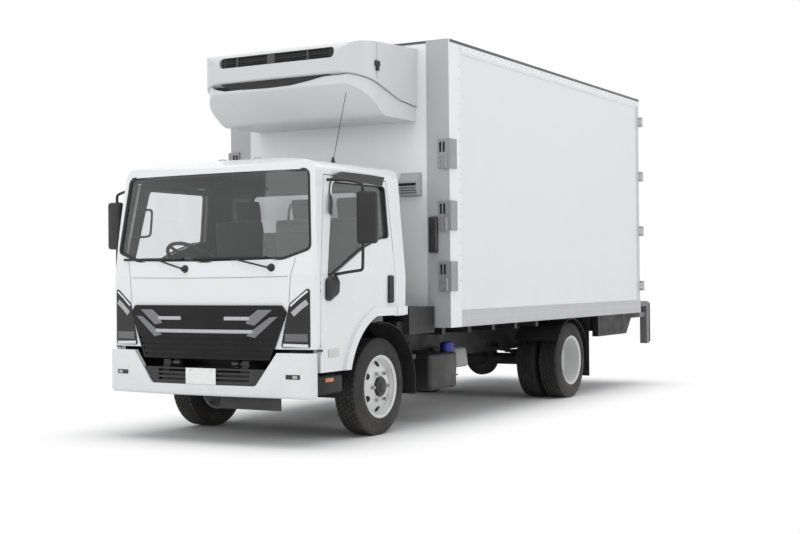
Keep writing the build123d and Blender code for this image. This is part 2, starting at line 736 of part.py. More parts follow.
for axle, y, eye, half in SPRINGS:
    for x in (axle - half, axle + half):
        for cheek in (y - SPRING_WIDTH / 2 - 9, y + SPRING_WIDTH / 2 + 1):
            hanger = block((x - 30, x + 30), (cheek, cheek + 8), (eye - 26, max(eye + 26, RAIL_BOTTOM + 2)))
            frame += pair(hanger)
        pin_y = (y - SPRING_WIDTH / 2 - 9, y + SPRING_WIDTH / 2 + 9)
        pin = rod("y", (x, 0, eye), EYE_BORE - RUNNING_FIT, *pin_y)
        bridge = block((x - 30, x + 30), (min(RAIL_OUT - 20, y - 44), y + 44), (eye + 24, eye + 50))
        frame += pair(pin + bridge)
save("chassis_frame", frame)
save("cross_members", Compound(members))

# Runners and cross bearers between the frame and the box
runner = block((FRAME_REAR, BOX_FRONT - 20), (RAIL_OUT - RAIL_FLANGE, RAIL_OUT), (FRAME_TOP, BEARER_LOW))
bearers = [runner, other_side(runner)]
for step in range(BEARERS):
    x = LOAD_FRONT - 60 - step * BEARER_PITCH
    if abs(x + WHEELBASE) > TYRE_RADIUS + 70:
        bearers.append(block((x - 30, x + 30), (-BEARER_HALF, BEARER_HALF), (BEARER_LOW, BOX_BOTTOM)))
save("body_bearers", Compound(bearers))

# Leaf springs: stacked leaves bent to the main leaf's arc, with rolled eyes
springs = None
for axle, y, eye, half in SPRINGS:
    sag = SPRING_SAG
    radius = (half**2 + sag**2) / (2 * sag)
    pack = None
    for leaf in range(LEAVES):
        reach = half * (1 - 0.22 * leaf)
        top = radius + leaf * LEAF_THICK
        ring = Cylinder(top + LEAF_THICK, SPRING_WIDTH) - Cylinder(top, SPRING_WIDTH)
        ring = Pos(axle, y, eye - sag + radius) * (Rot(90, 0, 0) * ring)
        ring &= block((axle - reach, axle + reach), (0, FAR), (0, eye + 10))
        pack = ring if pack is None else pack + ring
    for x in (axle - half, axle + half):
        pack += rod("y", (x, 0, eye), EYE_BORE + 10, y - SPRING_WIDTH / 2, y + SPRING_WIDTH / 2)
        pack -= rod("y", (x, 0, eye), EYE_BORE, y - SPRING_WIDTH, y + SPRING_WIDTH)
    springs = pair(pack) if springs is None else springs + pair(pack)
save("leaf_springs", springs)

# Front axle beam: a dropped forging with a boss at each kingpin
beam_pad = SPRINGS[0][2] - SPRING_SAG - LEAVES * LEAF_THICK
BEAM = [
    (-520, beam_pad),
    (520, beam_pad),
    (600, HUB_Z + 40),
    (KINGPIN_Y, HUB_Z + 40),
    (KINGPIN_Y, HUB_Z - 40),
    (620, HUB_Z - 40),
    (540, beam_pad - 80),
    (-540, beam_pad - 80),
    (-620, HUB_Z - 40),
    (-KINGPIN_Y, HUB_Z - 40),
    (-KINGPIN_Y, HUB_Z + 40),
    (-600, HUB_Z + 40),
]
beam = prism("x", BEAM, -42, 42)
for side in (-1, 1):
    groove = block(sorted((side * 18, side * 60)), (-500, 500), (beam_pad - 62, beam_pad - 18))
    beam -= groove
    beam += rod("z", (0, side * KINGPIN_Y, 0), BOSS_RADIUS, HUB_Z - BOSS_HALF, HUB_Z + BOSS_HALF)
    beam -= rod("z", (0, side * KINGPIN_Y, 0), KINGPIN_RADIUS + RUNNING_FIT, 0, FAR)
save("front_axle_beam", beam)

# Steering knuckles with spindle, kingpin and rearward arm
ears = None
for low in (HUB_Z - BOSS_HALF - EAR_GAP - EAR, HUB_Z + BOSS_HALF + EAR_GAP):
    ear = block((-45, 45), (KINGPIN_Y - 42, KINGPIN_Y + 70), (low, low + EAR))
    ears = ear if ears is None else ears + ear
EAR_LOW = HUB_Z - BOSS_HALF - EAR_GAP - EAR
EAR_HIGH = HUB_Z + BOSS_HALF + EAR_GAP + EAR
knuckle = ears + block((-45, 45), (KINGPIN_Y + 48, KINGPIN_Y + 70), (EAR_LOW, EAR_HIGH))
knuckle += rod("z", (0, KINGPIN_Y, 0), KINGPIN_RADIUS, EAR_LOW, EAR_HIGH)
HUB_BACK = KINGPIN_Y + 70
SPINDLE_END = FRONT_TRACK / 2 + FRONT_DISC - 20
knuckle += rod("y", (0, 0, HUB_Z), SPINDLE_RADIUS, HUB_BACK, SPINDLE_END)
arm = block((-STEER_ARM - 22, -30), (KINGPIN_Y - 20, KINGPIN_Y + 20), (EAR_LOW, EAR_LOW + EAR))
stud = rod("z", (-STEER_ARM, KINGPIN_Y, 0), STUD_RADIUS, EAR_LOW - STUD_DROP, EAR_LOW)
knuckle += arm + stud
save("knuckle_left", knuckle)
save("knuckle_right", other_side(knuckle))

# Tie rod between the two knuckle arms
EYE_LOW = EAR_LOW - STUD_DROP + 4
EYE_HIGH = EAR_LOW - 2
tie_rod = rod("y", (-STEER_ARM, 0, (EYE_LOW + EYE_HIGH) / 2), 13, -KINGPIN_Y, KINGPIN_Y)
for side in (-1, 1):
    place = (-STEER_ARM, side * KINGPIN_Y, 0)
    tie_rod += rod("z", place, STUD_RADIUS + 13, EYE_LOW, EYE_HIGH)
for side in (-1, 1):
    place = (-STEER_ARM, side * KINGPIN_Y, 0)
    tie_rod -= rod("z", place, STUD_RADIUS + RUNNING_FIT, 0, FAR)
save("tie_rod", tie_rod)

# Rear axle: tube, banjo housing with its nose, and spindles
rear_axle = rod("y", (-WHEELBASE, 0, HUB_Z), AXLE_TUBE_RADIUS, -REAR_HUB_BACK, REAR_HUB_BACK)
banjo = rod("x", (0, 0, HUB_Z), BANJO_RADIUS, -WHEELBASE - 90, -WHEELBASE + 90)
banjo = chamfer(banjo.edges().filter_by(GeomType.CIRCLE), 60)
nose = Pos(-WHEELBASE + 190, 0, DRIVE_Z) * (Rot(0, 90, 0) * Cone(120, 62, NOSE_LENGTH - 60))
rear_axle += banjo + nose + rod("x", (0, 0, DRIVE_Z), 62, -WHEELBASE + 250, -WHEELBASE + NOSE_LENGTH)
REAR_SPINDLE_END = REAR_TRACK / 2 + 60
rear_axle += rod("y", (-WHEELBASE, 0, HUB_Z), SPINDLE_RADIUS, -REAR_SPINDLE_END, REAR_SPINDLE_END)
pad_top = SPRINGS[1][2] - SPRING_SAG - LEAVES * LEAF_THICK
pad = block((-WHEELBASE - 70, -WHEELBASE + 70), (SPRINGS[1][1] - 40, SPRINGS[1][1] + 40), (HUB_Z, pad_top))
rear_axle += pair(pad)
save("rear_axle", rear_axle)

# Engine block, and the gearbox with its propeller shaft
ENGINE = [(-ENGINE_HALF, 640), (-ENGINE_HALF, ENGINE_TOP), (ENGINE_HALF, ENGINE_TOP), (ENGINE_HALF, 640)]
ENGINE += [(ENGINE_HALF - 120, ENGINE_BOTTOM), (120 - ENGINE_HALF, ENGINE_BOTTOM)]
save("engine_block", prism("x", ENGINE, ENGINE_REAR, ENGINE_FRONT, 30))
bell = rod("x", (0, 0, 620), 190, ENGINE_REAR - 120, ENGINE_REAR)
CASE = [
    (ENGINE_REAR - 120, -170),
    (ENGINE_REAR - 120, 170),
    (GEARBOX_REAR, 110),
    (GEARBOX_REAR, -110),
]
case = prism("z", CASE, 400, 720, 30)
shaft = rod("x", (0, 0, DRIVE_Z), 42, -WHEELBASE + NOSE_LENGTH + 30, GEARBOX_REAR - 30)
rear_flange = rod("x", (0, 0, DRIVE_Z), 62, -WHEELBASE + NOSE_LENGTH, -WHEELBASE + NOSE_LENGTH + 30)
front_flange = rod("x", (0, 0, DRIVE_Z), 62, GEARBOX_REAR - 30, GEARBOX_REAR)
save("driveline", Compound([bell, case, shaft, rear_flange, front_flange]))

# Tanks and boxes on their shelf brackets
tank_edges = [(RAIL_OUT + 14, TANK_BOTTOM), (RAIL_OUT + TANK_OUT, TANK_BOTTOM)]
tank_edges += [(RAIL_OUT + TANK_OUT, TANK_BOTTOM + TANK_HEIGHT), (RAIL_OUT + 14, TANK_BOTTOM + TANK_HEIGHT)]
fuel_tank = other_side(prism("x", tank_edges, FUEL_TANK[0], FUEL_TANK[1], 70))
urea = prism("x", tank_edges, UREA_TANK[0], UREA_TANK[1], 40)
cap_place = (sum(UREA_TANK) / 2, RAIL_OUT + TANK_OUT - 90, 0)
urea += rod("z", cap_place, 45, TANK_BOTTOM + 200, TANK_BOTTOM + TANK_HEIGHT + 40)
save("side_tanks", fuel_tank + urea)
save("battery_box", other_side(prism("x", tank_edges, BATTERY_BOX[0], BATTERY_BOX[1], 18)))

# Silencer with its pipe from the engine and its outlet ahead of the rear wheel
silencer_y = -RAIL_OUT - 14 - SILENCER_RADIUS
silencer_z = TANK_BOTTOM + SILENCER_RADIUS
silencer = rod("x", (0, silencer_y, silencer_z), SILENCER_RADIUS, SILENCER[0], SILENCER[1])
silencer = chamfer(silencer.edges().filter_by(GeomType.CIRCLE), 40)
outlet = [
    (SILENCER[0] + 10, silencer_y, silencer_z),
    (SILENCER[0] - 120, silencer_y, silencer_z),
    (SILENCER[0] - 120, silencer_y - 260, silencer_z - 110),
]
silencer += bent_tube(outlet, 42, 90)
save("exhaust", silencer)

# Wheels: tyres and steel rims, single in front and twinned behind


def tyre(centre):
    half = TYRE_WIDTH / 2
    tread = TREAD_WIDTH / 2
    seat = RIM_WIDTH / 2
    belly = (TYRE_RADIUS + SEAT_RADIUS) / 2
    points = [(TYRE_RADIUS, -tread), (TYRE_RADIUS, tread), (belly, half), (SEAT_RADIUS, seat)]
    points += [(SEAT_RADIUS, -seat), (belly, -half)]
    return turned(points, centre)


def hand_holes(centre, across, depth):
    """Pockets round the wheel's disc, as deep as depth on both sides of across."""
    holes = None
    for step in range(HAND_HOLES):
        turn = 2 * math.pi * (step + 0.5) / HAND_HOLES
        place = (
            centre[0] + HAND_HOLE_CIRCLE * math.cos(turn),
            0,
            centre[2] + HAND_HOLE_CIRCLE * math.sin(turn),
        )
        hole = rod("y", place, HAND_HOLE_RADIUS, centre[1] + across - depth, centre[1] + across + depth)
        holes = hole if holes is None else holes + hole
    return holes


BORE = SPINDLE_RADIUS + RUNNING_FIT
SEAT = RIM_WIDTH / 2
LIP = SEAT_RADIUS - RIM_WALL
front_centre = (0, FRONT_TRACK / 2, HUB_Z)
DRUM_BACK = HUB_BACK + DRUM_CLEAR - FRONT_TRACK / 2
FRONT_RIM = [
    (BORE, FRONT_DISC + CAP_OUT),
    (HUB_RADIUS - 12, FRONT_DISC + CAP_OUT),
    (HUB_RADIUS, FRONT_DISC),
    (DISC_FLAT, FRONT_DISC),
    (LIP, FRONT_DISC - DISC_DISH),
    (LIP, SEAT),
    (SEAT_RADIUS, SEAT),
    (SEAT_RADIUS, -SEAT),
    (LIP, -SEAT),
    (LIP, DRUM_BACK),
    (BORE, DRUM_BACK),
]
front_rim = turned(FRONT_RIM, front_centre) - hand_holes(front_centre, FRONT_DISC, DISC_DISH + 25)
front_rim += rod("y", front_centre, BORE, SPINDLE_END + 3, FRONT_TRACK / 2 + FRONT_DISC + CAP_OUT)
save("tyre_front_left", tyre(front_centre))
save("tyre_front_right", other_side(tyre(front_centre)))
save("rim_front_left", front_rim)
save("rim_front_right", other_side(front_rim))

rear_centre = (-WHEELBASE, REAR_TRACK / 2, HUB_Z)
TWIN = TWIN_SPACING / 2
REAR_DRUM = REAR_HUB_BACK + DRUM_CLEAR - REAR_TRACK / 2
REAR_RIM = [
    (BORE, REAR_CAP),
    (HUB_RADIUS - 12, REAR_CAP),
    (HUB_RADIUS, RIM_WALL),
    (DISC_FLAT, RIM_WALL),
    (LIP, TWIN - SEAT + 30),
    (LIP, TWIN + SEAT),
    (SEAT_RADIUS, TWIN + SEAT),
    (SEAT_RADIUS, TWIN - SEAT),
    (DISC_FLAT, 0),
    (SEAT_RADIUS, SEAT - TWIN),
    (SEAT_RADIUS, -SEAT - TWIN),
    (LIP, -SEAT - TWIN),
    (LIP, REAR_DRUM),
    (BORE, REAR_DRUM),
]
rear_rims = turned(REAR_RIM, rear_centre) - hand_holes(rear_centre, RIM_WALL + DISC_DISH / 2, DISC_DISH + 10)
rear_rims += rod("y", rear_centre, BORE, REAR_SPINDLE_END + 3, REAR_TRACK / 2 + REAR_CAP)
twin_tyres = None
for across in (-TWIN, TWIN):
    twin = tyre((rear_centre[0], rear_centre[1] + across, rear_centre[2]))
    twin_tyres = twin if twin_tyres is None else twin_tyres + twin
save("tyres_rear_left", twin_tyres)
save("tyres_rear_right", other_side(twin_tyres))
save("rims_rear_left", rear_rims)
save("rims_rear_right", other_side(rear_rims))

# Mudguards: curved sheets round the wheels, flaps, and the covers behind the front wheels


def guard_sheet(x, radius, low, y):
    """A curved sheet round a wheel, above low."""
    ring = rod("y", (x, 0, HUB_Z), radius + GUARD_SHEET, *y) - rod("y", (x, 0, HUB_Z), radius, *y)
    return ring & block((x - FAR, x + FAR), y, (low, FAR))


guard_y = (RAIL_OUT + 275, CAB_SILL_HALF - 15)
front_guard = guard_sheet(0, FRONT_GUARD, HUB_Z, guard_y)
front_guard &= block((-FAR, 80), (0, FAR), (0, FAR))
front_guard += block((-FRONT_GUARD - GUARD_SHEET, -FRONT_GUARD), guard_y, (FLAP_LOW, HUB_Z + 10))
cover = block((BOX_FRONT + 38, CAB_REAR - 20), (guard_y[0] + 80, CAB_HALF + 20), (820, 1050))
cover += block((CAB_REAR - 25, CAB_REAR + 90), (guard_y[0] + 80, guard_y[1]), (820, ARCH_TOP - 55))
front_guard += cover - rod("y", (0, 0, HUB_Z), FRONT_GUARD + GUARD_SHEET / 2, 0, FAR)
stay = block((-FRONT_GUARD - 50, 80 - FRONT_GUARD), (RAIL_OUT, guard_y[1] - 20), (600, 640))
front_guard += stay - rod("y", (0, 0, HUB_Z), FRONT_GUARD + GUARD_SHEET / 2, 0, FAR)
twin_y = (REAR_TRACK / 2 - TWIN - TYRE_WIDTH / 2, REAR_TRACK / 2 + TWIN + TYRE_WIDTH / 2 + 8)
rear_guard = guard_sheet(-WHEELBASE, REAR_GUARD, HUB_Z + 220, twin_y)
for x in (-WHEELBASE - 120, -WHEELBASE + 120):
    rear_guard += block((x - 15, x + 15), (twin_y[0] + 20, twin_y[1] - 20), (820, BOX_BOTTOM)) - rod(
        "y", (-WHEELBASE, 0, HUB_Z), REAR_GUARD + GUARD_SHEET / 2, 0, FAR
    )
flap_x = (-WHEELBASE - FLAP_BACK, GUARD_SHEET - WHEELBASE - FLAP_BACK)
flap = block(flap_x, twin_y, (200, BOX_BOTTOM))
save("mudguards", pair(front_guard) + pair(rear_guard) + pair(flap))

# Insulated box: floor, roof, walls and rear frame
along = (LOAD_REAR, LOAD_FRONT)
save("box_floor", block(along, (-INSIDE_HALF, INSIDE_HALF), (BOX_BOTTOM, LOAD_FLOOR)))
save("box_roof", block(along, (-INSIDE_HALF, INSIDE_HALF), (LOAD_TOP, BOX_TOP)))
side_wall = block(along, (INSIDE_HALF, SKIN), (BOX_BOTTOM, BOX_TOP))
save("box_wall_left", side_wall)
save("box_wall_right", other_side(side_wall))
save("box_front_wall", block((LOAD_FRONT, BOX_FRONT), (-SKIN, SKIN), (BOX_BOTTOM, BOX_TOP)))
portal = block((BOX_REAR, LOAD_REAR), (-SKIN, SKIN), (BOX_BOTTOM, BOX_TOP))
portal -= block((-2 * FAR, FAR), (-INSIDE_HALF, INSIDE_HALF), (LOAD_FLOOR, LOAD_TOP))
PIN_X = BOX_REAR - PIN_BACK
PIN_Y = HALF_BOX + PIN_OUT
for z in HINGES:
    lug = block((PIN_X, BOX_REAR), (SKIN - 30, PIN_Y), (z - LUG_HALF, z + LUG_HALF))
    lug += rod("z", (PIN_X, PIN_Y, 0), KNUCKLE_RADIUS, z - LUG_HALF, z + LUG_HALF)
    lug += rod("z", (PIN_X, PIN_Y, 0), HINGE_PIN_RADIUS, z - STRAP_HALF, z + STRAP_HALF)
    portal += pair(lug)
save("box_rear_frame", portal)

# Edge rails along the box and posts on its front corners
RAIL_LOW = BOX_BOTTOM - EDGE_SHEET
RAIL_HIGH = BOX_TOP + EDGE_SHEET
BOTTOM_SECTION = [
    (HALF_BOX, RAIL_LOW),
    (HALF_BOX, RAIL_LOW + BOTTOM_RAIL),
    (SKIN, RAIL_LOW + BOTTOM_RAIL),
    (SKIN, BOX_BOTTOM),
    (SKIN - RAIL_LEG, BOX_BOTTOM),
    (SKIN - RAIL_LEG, RAIL_LOW),
]
TOP_SECTION = [
    (HALF_BOX, RAIL_HIGH),
    (HALF_BOX, RAIL_HIGH - TOP_RAIL),
    (SKIN, RAIL_HIGH - TOP_RAIL),
    (SKIN, BOX_TOP),
    (SKIN - RAIL_LEG, BOX_TOP),
    (SKIN - RAIL_LEG, RAIL_HIGH),
]
rail_end = BOX_FRONT - CORNER_SIDE_LEG - TRIM_GAP
rails = [prism("x", section, BOX_REAR, rail_end) for section in (BOTTOM_SECTION, TOP_SECTION)]
POST = [
    (BOX_FRONT + EDGE_SHEET, HALF_BOX - CORNER_FRONT_LEG),
    (BOX_FRONT + EDGE_SHEET, HALF_BOX),
    (BOX_FRONT - CORNER_SIDE_LEG, HALF_BOX),
    (BOX_FRONT - CORNER_SIDE_LEG, SKIN),
    (BOX_FRONT, SKIN),
    (BOX_FRONT, HALF_BOX - CORNER_FRONT_LEG),
]
save("box_edge_trim", pair(rails[0]) + pair(rails[1]) + pair(prism("z", POST, RAIL_LOW, RAIL_HIGH)))

# Hinge-like fittings wrapped round the front corners
POST_FRONT = BOX_FRONT + EDGE_SHEET
FITTING = [
    (POST_FRONT, HALF_BOX - FITTING_FRONT),
    (POST_FRONT + FITTING_THICK, HALF_BOX - FITTING_FRONT),
    (POST_FRONT + FITTING_THICK, HALF_BOX + FITTING_THICK),
    (BOX_FRONT - FITTING_SIDE, HALF_BOX + FITTING_THICK),
    (BOX_FRONT - FITTING_SIDE, HALF_BOX),
    (POST_FRONT, HALF_BOX),
]
fittings = None
for z in FITTINGS:
    fitting = prism("z", FITTING, z - FITTING_HALF, z + FITTING_HALF)
    knuckle_place = (POST_FRONT + FITTING_THICK, HALF_BOX - 28, 0)
    fitting += rod("z", knuckle_place, 16, z - FITTING_HALF, z - 15)
    for near in (HALF_BOX - FITTING_FRONT + 16, HALF_BOX - FITTING_FRONT + 50):
        slot = (POST_FRONT + 6, POST_FRONT + 2 * FITTING_THICK)
        fitting -= block(slot, (near, near + 22), (z + 15, z + 105))
    fittings = pair(fitting) if fittings is None else fittings + pair(fitting)
pad_shape = [(PAD_Y - 40, PAD_LOW), (PAD_Y + 40, PAD_LOW), (PAD_Y + 40, PAD_HIGH), (PAD_Y - 40, PAD_HIGH)]
save("corner_fittings", fittings + prism("x", pad_shape, POST_FRONT, POST_FRONT + 36, 20))

# Hooded vent on the front wall
VENT = [
    (BOX_FRONT, VENT_LOW),
    (BOX_FRONT + 55, VENT_LOW),
    (BOX_FRONT + 78, VENT_LOW + 60),
    (BOX_FRONT + 78, VENT_LOW + 120),
    (BOX_FRONT + 18, VENT_LOW + VENT_HEIGHT),
    (BOX_FRONT, VENT_LOW + VENT_HEIGHT),
]
vent = prism("y", VENT, VENT_Y[0], VENT_Y[1])
for row in range(4):
    z = VENT_LOW + 14 + 22 * row
    vent -= block((BOX_FRONT + 30, BOX_FRONT + 100), (VENT_Y[0] + 14, VENT_Y[1] - 14), (z, z + 10))
save("front_vent", vent)

# Rear doors with their hinge straps and lock gear
leaf_y = (DOOR_GAP / 2, INSIDE_HALF - DOOR_GAP)
leaf_z = (LOAD_FLOOR + DOOR_GAP + 1, LOAD_TOP - DOOR_GAP - 1)
leaf = block((BOX_REAR, BOX_REAR + DOOR_THICK), leaf_y, leaf_z)
save("rear_door_left", leaf)
save("rear_door_right", other_side(leaf))
gear = None
for z in HINGES:
    strap_z = (z - STRAP_HALF, z + STRAP_HALF)
    strap_y = (STRAP_REACH, leaf_y[1] - 6)
    strap = block((BOX_REAR - 12, BOX_REAR), strap_y, (strap_z[0] + 15, strap_z[1] - 15))
    strap += block((BOX_REAR - 27, BOX_REAR), (leaf_y[1] - 36, leaf_y[1] - 6), strap_z)
    for low, high in ((strap_z[0], z - LUG_HALF - DOOR_GAP), (z + LUG_HALF + DOOR_GAP, strap_z[1])):
        strap += block((BOX_REAR - 27, BOX_REAR - 7), (leaf_y[1] - 30, PIN_Y), (low, high))
        strap += rod("z", (PIN_X, PIN_Y, 0), KNUCKLE_RADIUS, low, high)
        strap -= rod("z", (PIN_X, PIN_Y, 0), HINGE_PIN_RADIUS + RUNNING_FIT, low, high)
    gear = strap if gear is None else gear + strap
ROD_X = BOX_REAR - 29
lock = rod("z", (ROD_X, LOCK_Y, 0), 13, leaf_z[0] + 30, leaf_z[1] - 30)
for z in (leaf_z[0] + 60, 1500, 2400, leaf_z[1] - 60):
    lock += block((BOX_REAR - 40, BOX_REAR), (LOCK_Y - 32, LOCK_Y + 32), (z - 28, z + 28))
lock += block((ROD_X - 12, ROD_X + 6), (LOCK_Y - 15, LOCK_Y + 360), (HANDLE_Z - 16, HANDLE_Z + 16))
lock += block((ROD_X, BOX_REAR), (LOCK_Y + 300, LOCK_Y + 350), (HANDLE_Z - 30, HANDLE_Z + 30))
gear += lock
save("door_gear_left", gear)
save("door_gear_right", other_side(gear))

# Refrigeration unit on the front wall over the cab
UNIT_FRONT = BOX_FRONT + UNIT_DEPTH


def unit_plan(inset):
    half = UNIT_HALF_WIDTH - inset
    front = UNIT_FRONT + PLAN_SPARE - inset
    back = BOX_FRONT - WALL
    points = [(back, -half), (front, -half), (front, half), (back, half)]
    corner = UNIT_CORNER - inset
    return prism("z", points, UNIT_BOTTOM - 50, UNIT_TOP + 50, [1, corner, corner, 1])


UPPER = [
    (BOX_FRONT, UNIT_TOP),
    (UNIT_FRONT, UNIT_TOP - UNIT_DROP),
    (UNIT_FRONT, UNIT_LIP),
    (UNIT_FRONT - 160, UNIT_LIP - 45),
    (BOX_FRONT + 300, UNIT_LIP - 180),
    (BOX_FRONT, UNIT_LIP - 210),
]
upper_form = prism("y", UPPER, -FAR / 2, FAR / 2, [1, 100, 18, 200, 300, 1])
upper = unit_plan(0) & upper_form
LOWER = [
    (BOX_FRONT, UNIT_LIP - 216),
    (BOX_FRONT + 300, UNIT_LIP - 186),
    (UNIT_FRONT - 165, UNIT_LIP - 54),
    (UNIT_FRONT - 30, UNIT_LIP - 15),
    (UNIT_FRONT - 30, UNIT_LIP - 95),
    (BOX_FRONT + 560, UNIT_BOTTOM),
    (BOX_FRONT, UNIT_BOTTOM),
]
lower_form = prism("y", LOWER, -FAR / 2, FAR / 2, [1, 300, 200, 12, 30, 150, 1])
SLIT = [
    (-730, UNIT_LIP + 5),
    (330, UNIT_LIP + 5),
    (150, UNIT_LIP - 45),
    (-50, UNIT_LIP - 66),
    (-560, UNIT_LIP - 72),
    (-690, UNIT_LIP - 45),
]
lower = unit_plan(20) & lower_form
lower -= prism("x", SLIT, UNIT_FRONT - SLIT_DEPTH, UNIT_FRONT + 10)
core = prism("x", SLIT, UNIT_FRONT - SLIT_DEPTH, UNIT_FRONT - 90)
core = (core & unit_plan(60)) - upper_form
SLOT = [
    (-SLOT_HALF, SLOT_LOW),
    (SLOT_HALF, SLOT_LOW),
    (SLOT_HALF, SLOT_LOW + SLOT_RISE),
    (-SLOT_HALF, SLOT_LOW + SLOT_RISE),
]
upper -= prism("x", SLOT, UNIT_FRONT - SLOT_DEPTH, UNIT_FRONT + 10, SLOT_CORNER)
louvre = prism("x", SLOT, UNIT_FRONT - SLOT_DEPTH, UNIT_FRONT - SLOT_DEPTH / 2, SLOT_CORNER)
louvre_y = (SLOT_CORNER + 20 - SLOT_HALF, SLOT_HALF - SLOT_CORNER - 20)
for row in range(4):
    z = SLOT_LOW + 9 + row * 21
    louvre -= block((UNIT_FRONT - SLOT_DEPTH + 10, UNIT_FRONT), louvre_y, (z, z + 12))
save("reefer_upper_shell", upper)
save("reefer_lower_cover", lower)
save("reefer_grilles", core + louvre)

# Rear step: side beams, arms, posts, braces and plank, with rubber buffers
step_y = (STEP_HALF - 85, STEP_HALF)
beam_y = (step_y[0] - 10, step_y[0] + 60)
SIDE_BEAM = [
    (STEP_BEAM_FRONT, RAIL_LOW),
    (STEP_BEAM_FRONT, RAIL_LOW - STEP_BEAM_DEPTH),
    (BOX_REAR + 330, RAIL_LOW - STEP_BEAM_DEPTH),
    (BOX_REAR + 110, RAIL_LOW),
]
step_frame = prism("y", SIDE_BEAM, *beam_y)
POST_X = (STEP_REAR + BUFFER, STEP_REAR + BUFFER + 85)
arm_y = (step_y[0], step_y[0] + 60)
step_frame += block((POST_X[0], STEP_BEAM_FRONT - 200), arm_y, (RAIL_LOW - 60, RAIL_LOW))
step_frame += block(POST_X, step_y, (STEP_LOW, STEP_TOP))
BRACE = [
    (BOX_REAR + 100, RAIL_LOW - 20),
    (POST_X[1] - 10, STEP_LOW + 160),
    (POST_X[1] - 10, STEP_LOW + 215),
    (BOX_REAR + 160, RAIL_LOW - 20),
]
step_frame += prism("y", BRACE, step_y[0] + 15, step_y[0] + 45)
plank = block((POST_X[0], BOX_REAR - 20), (-STEP_HALF, STEP_HALF), (STEP_TOP - 55, STEP_TOP))
save("rear_step", pair(step_frame) + plank)
buffers = block((STEP_REAR, POST_X[0]), step_y, (STEP_LOW + 20, STEP_TOP - 20))
save("dock_buffers", pair(buffers))

# Tail lamps on the frame's last cross member, and fog lamps in the bumper
tail_y = (LAMP_BAR_HALF - 290, LAMP_BAR_HALF - 10)
tail = block((FRAME_REAR - 100, FRAME_REAR - 60), tail_y, (LAMP_BAR_LOW + 10, LAMP_BAR_LOW + 110))
fog = rod("x", (0, FOG_Y, FOG_Z), FOG_RADIUS, CAB_FRONT - 200, BUMPER_FRONT) & bumper_form(6)
fog -= bumper_form(BUMPER_WALL + 20)
save("chassis_lamps", pair(tail) + pair(fog))
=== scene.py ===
import bmesh
import bpy
import math
from mathutils import Matrix, Vector
from mathutils.bvhtree import BVHTree


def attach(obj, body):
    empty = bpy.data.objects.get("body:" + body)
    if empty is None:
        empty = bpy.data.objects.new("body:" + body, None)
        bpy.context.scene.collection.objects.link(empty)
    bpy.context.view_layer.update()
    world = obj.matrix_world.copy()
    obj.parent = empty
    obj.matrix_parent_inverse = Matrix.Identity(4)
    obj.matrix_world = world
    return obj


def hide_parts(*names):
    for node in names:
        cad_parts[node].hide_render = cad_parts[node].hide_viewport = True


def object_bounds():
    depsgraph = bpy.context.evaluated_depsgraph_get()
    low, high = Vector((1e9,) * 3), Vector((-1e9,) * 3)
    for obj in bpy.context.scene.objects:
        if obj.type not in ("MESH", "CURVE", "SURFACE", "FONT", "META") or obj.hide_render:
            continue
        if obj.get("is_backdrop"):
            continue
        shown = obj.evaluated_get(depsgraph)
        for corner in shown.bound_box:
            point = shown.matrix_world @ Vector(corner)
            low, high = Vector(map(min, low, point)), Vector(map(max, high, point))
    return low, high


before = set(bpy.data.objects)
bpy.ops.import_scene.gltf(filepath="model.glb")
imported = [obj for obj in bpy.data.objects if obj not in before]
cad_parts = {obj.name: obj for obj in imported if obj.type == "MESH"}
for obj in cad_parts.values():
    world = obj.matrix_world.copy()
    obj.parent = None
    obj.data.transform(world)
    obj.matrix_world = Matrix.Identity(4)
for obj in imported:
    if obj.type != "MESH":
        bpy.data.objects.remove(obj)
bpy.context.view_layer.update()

# Studio: a white paper floor under a wide overhead softbox, with weaker ones in front and at the left.
# The camera stands low off the truck's left front corner, as the photographer did.
scene = bpy.context.scene
scene.view_settings.view_transform = "Standard"
AXLE = 2.4625
yaw, pitch, roll = math.radians(209.896), math.radians(0.434), math.radians(-0.522)
ahead = Vector((math.cos(pitch) * math.cos(yaw), math.cos(pitch) * math.sin(yaw), math.sin(pitch)))
right = ahead.cross(Vector((0, 0, 1))).normalized()
over = right.cross(ahead)
level = right * math.cos(roll) + over * math.sin(roll)
rise = over * math.cos(roll) - right * math.sin(roll)
lens = bpy.data.cameras.new("camera")
lens.sensor_width = 36
lens.lens = 59.85
CAMERA_PLACE = (11.9575, 6.604, 1.309)
camera = bpy.data.objects.new("camera", lens)
camera.matrix_world = Matrix.Translation(CAMERA_PLACE) @ Matrix((level, rise, -ahead)).transposed().to_4x4()
scene.collection.objects.link(camera)
scene.camera = camera


def new_node(tree, kind, values=(), operation=None):
    """A new node in a tree, with its operation and the values of its inputs."""
    made = tree.nodes.new(kind)
    if operation:
        made.operation = operation
    for label, value in dict(values).items():
        made.inputs[label].default_value = value
    return made


def wire(tree, *rows):
    """Joins nodes of a tree, from rows of a node, its output, the next node and its input."""
    for giver, given, taker, taken in rows:
        tree.links.new(giver.outputs[given], taker.inputs[taken])


def looked_at(tree):
    """1 for a camera, transmission or glossy ray, and 0 for a ray that gathers light."""
    rays = new_node(tree, "ShaderNodeLightPath")
    share = rays.outputs["Is Camera Ray"]
    for label in ("Is Transmission Ray", "Is Glossy Ray"):
        either = new_node(tree, "ShaderNodeMath", operation="MAXIMUM")
        tree.links.new(share, either.inputs[0])
        wire(tree, (rays, label, either, 1))
        share = either.outputs[0]
    return share


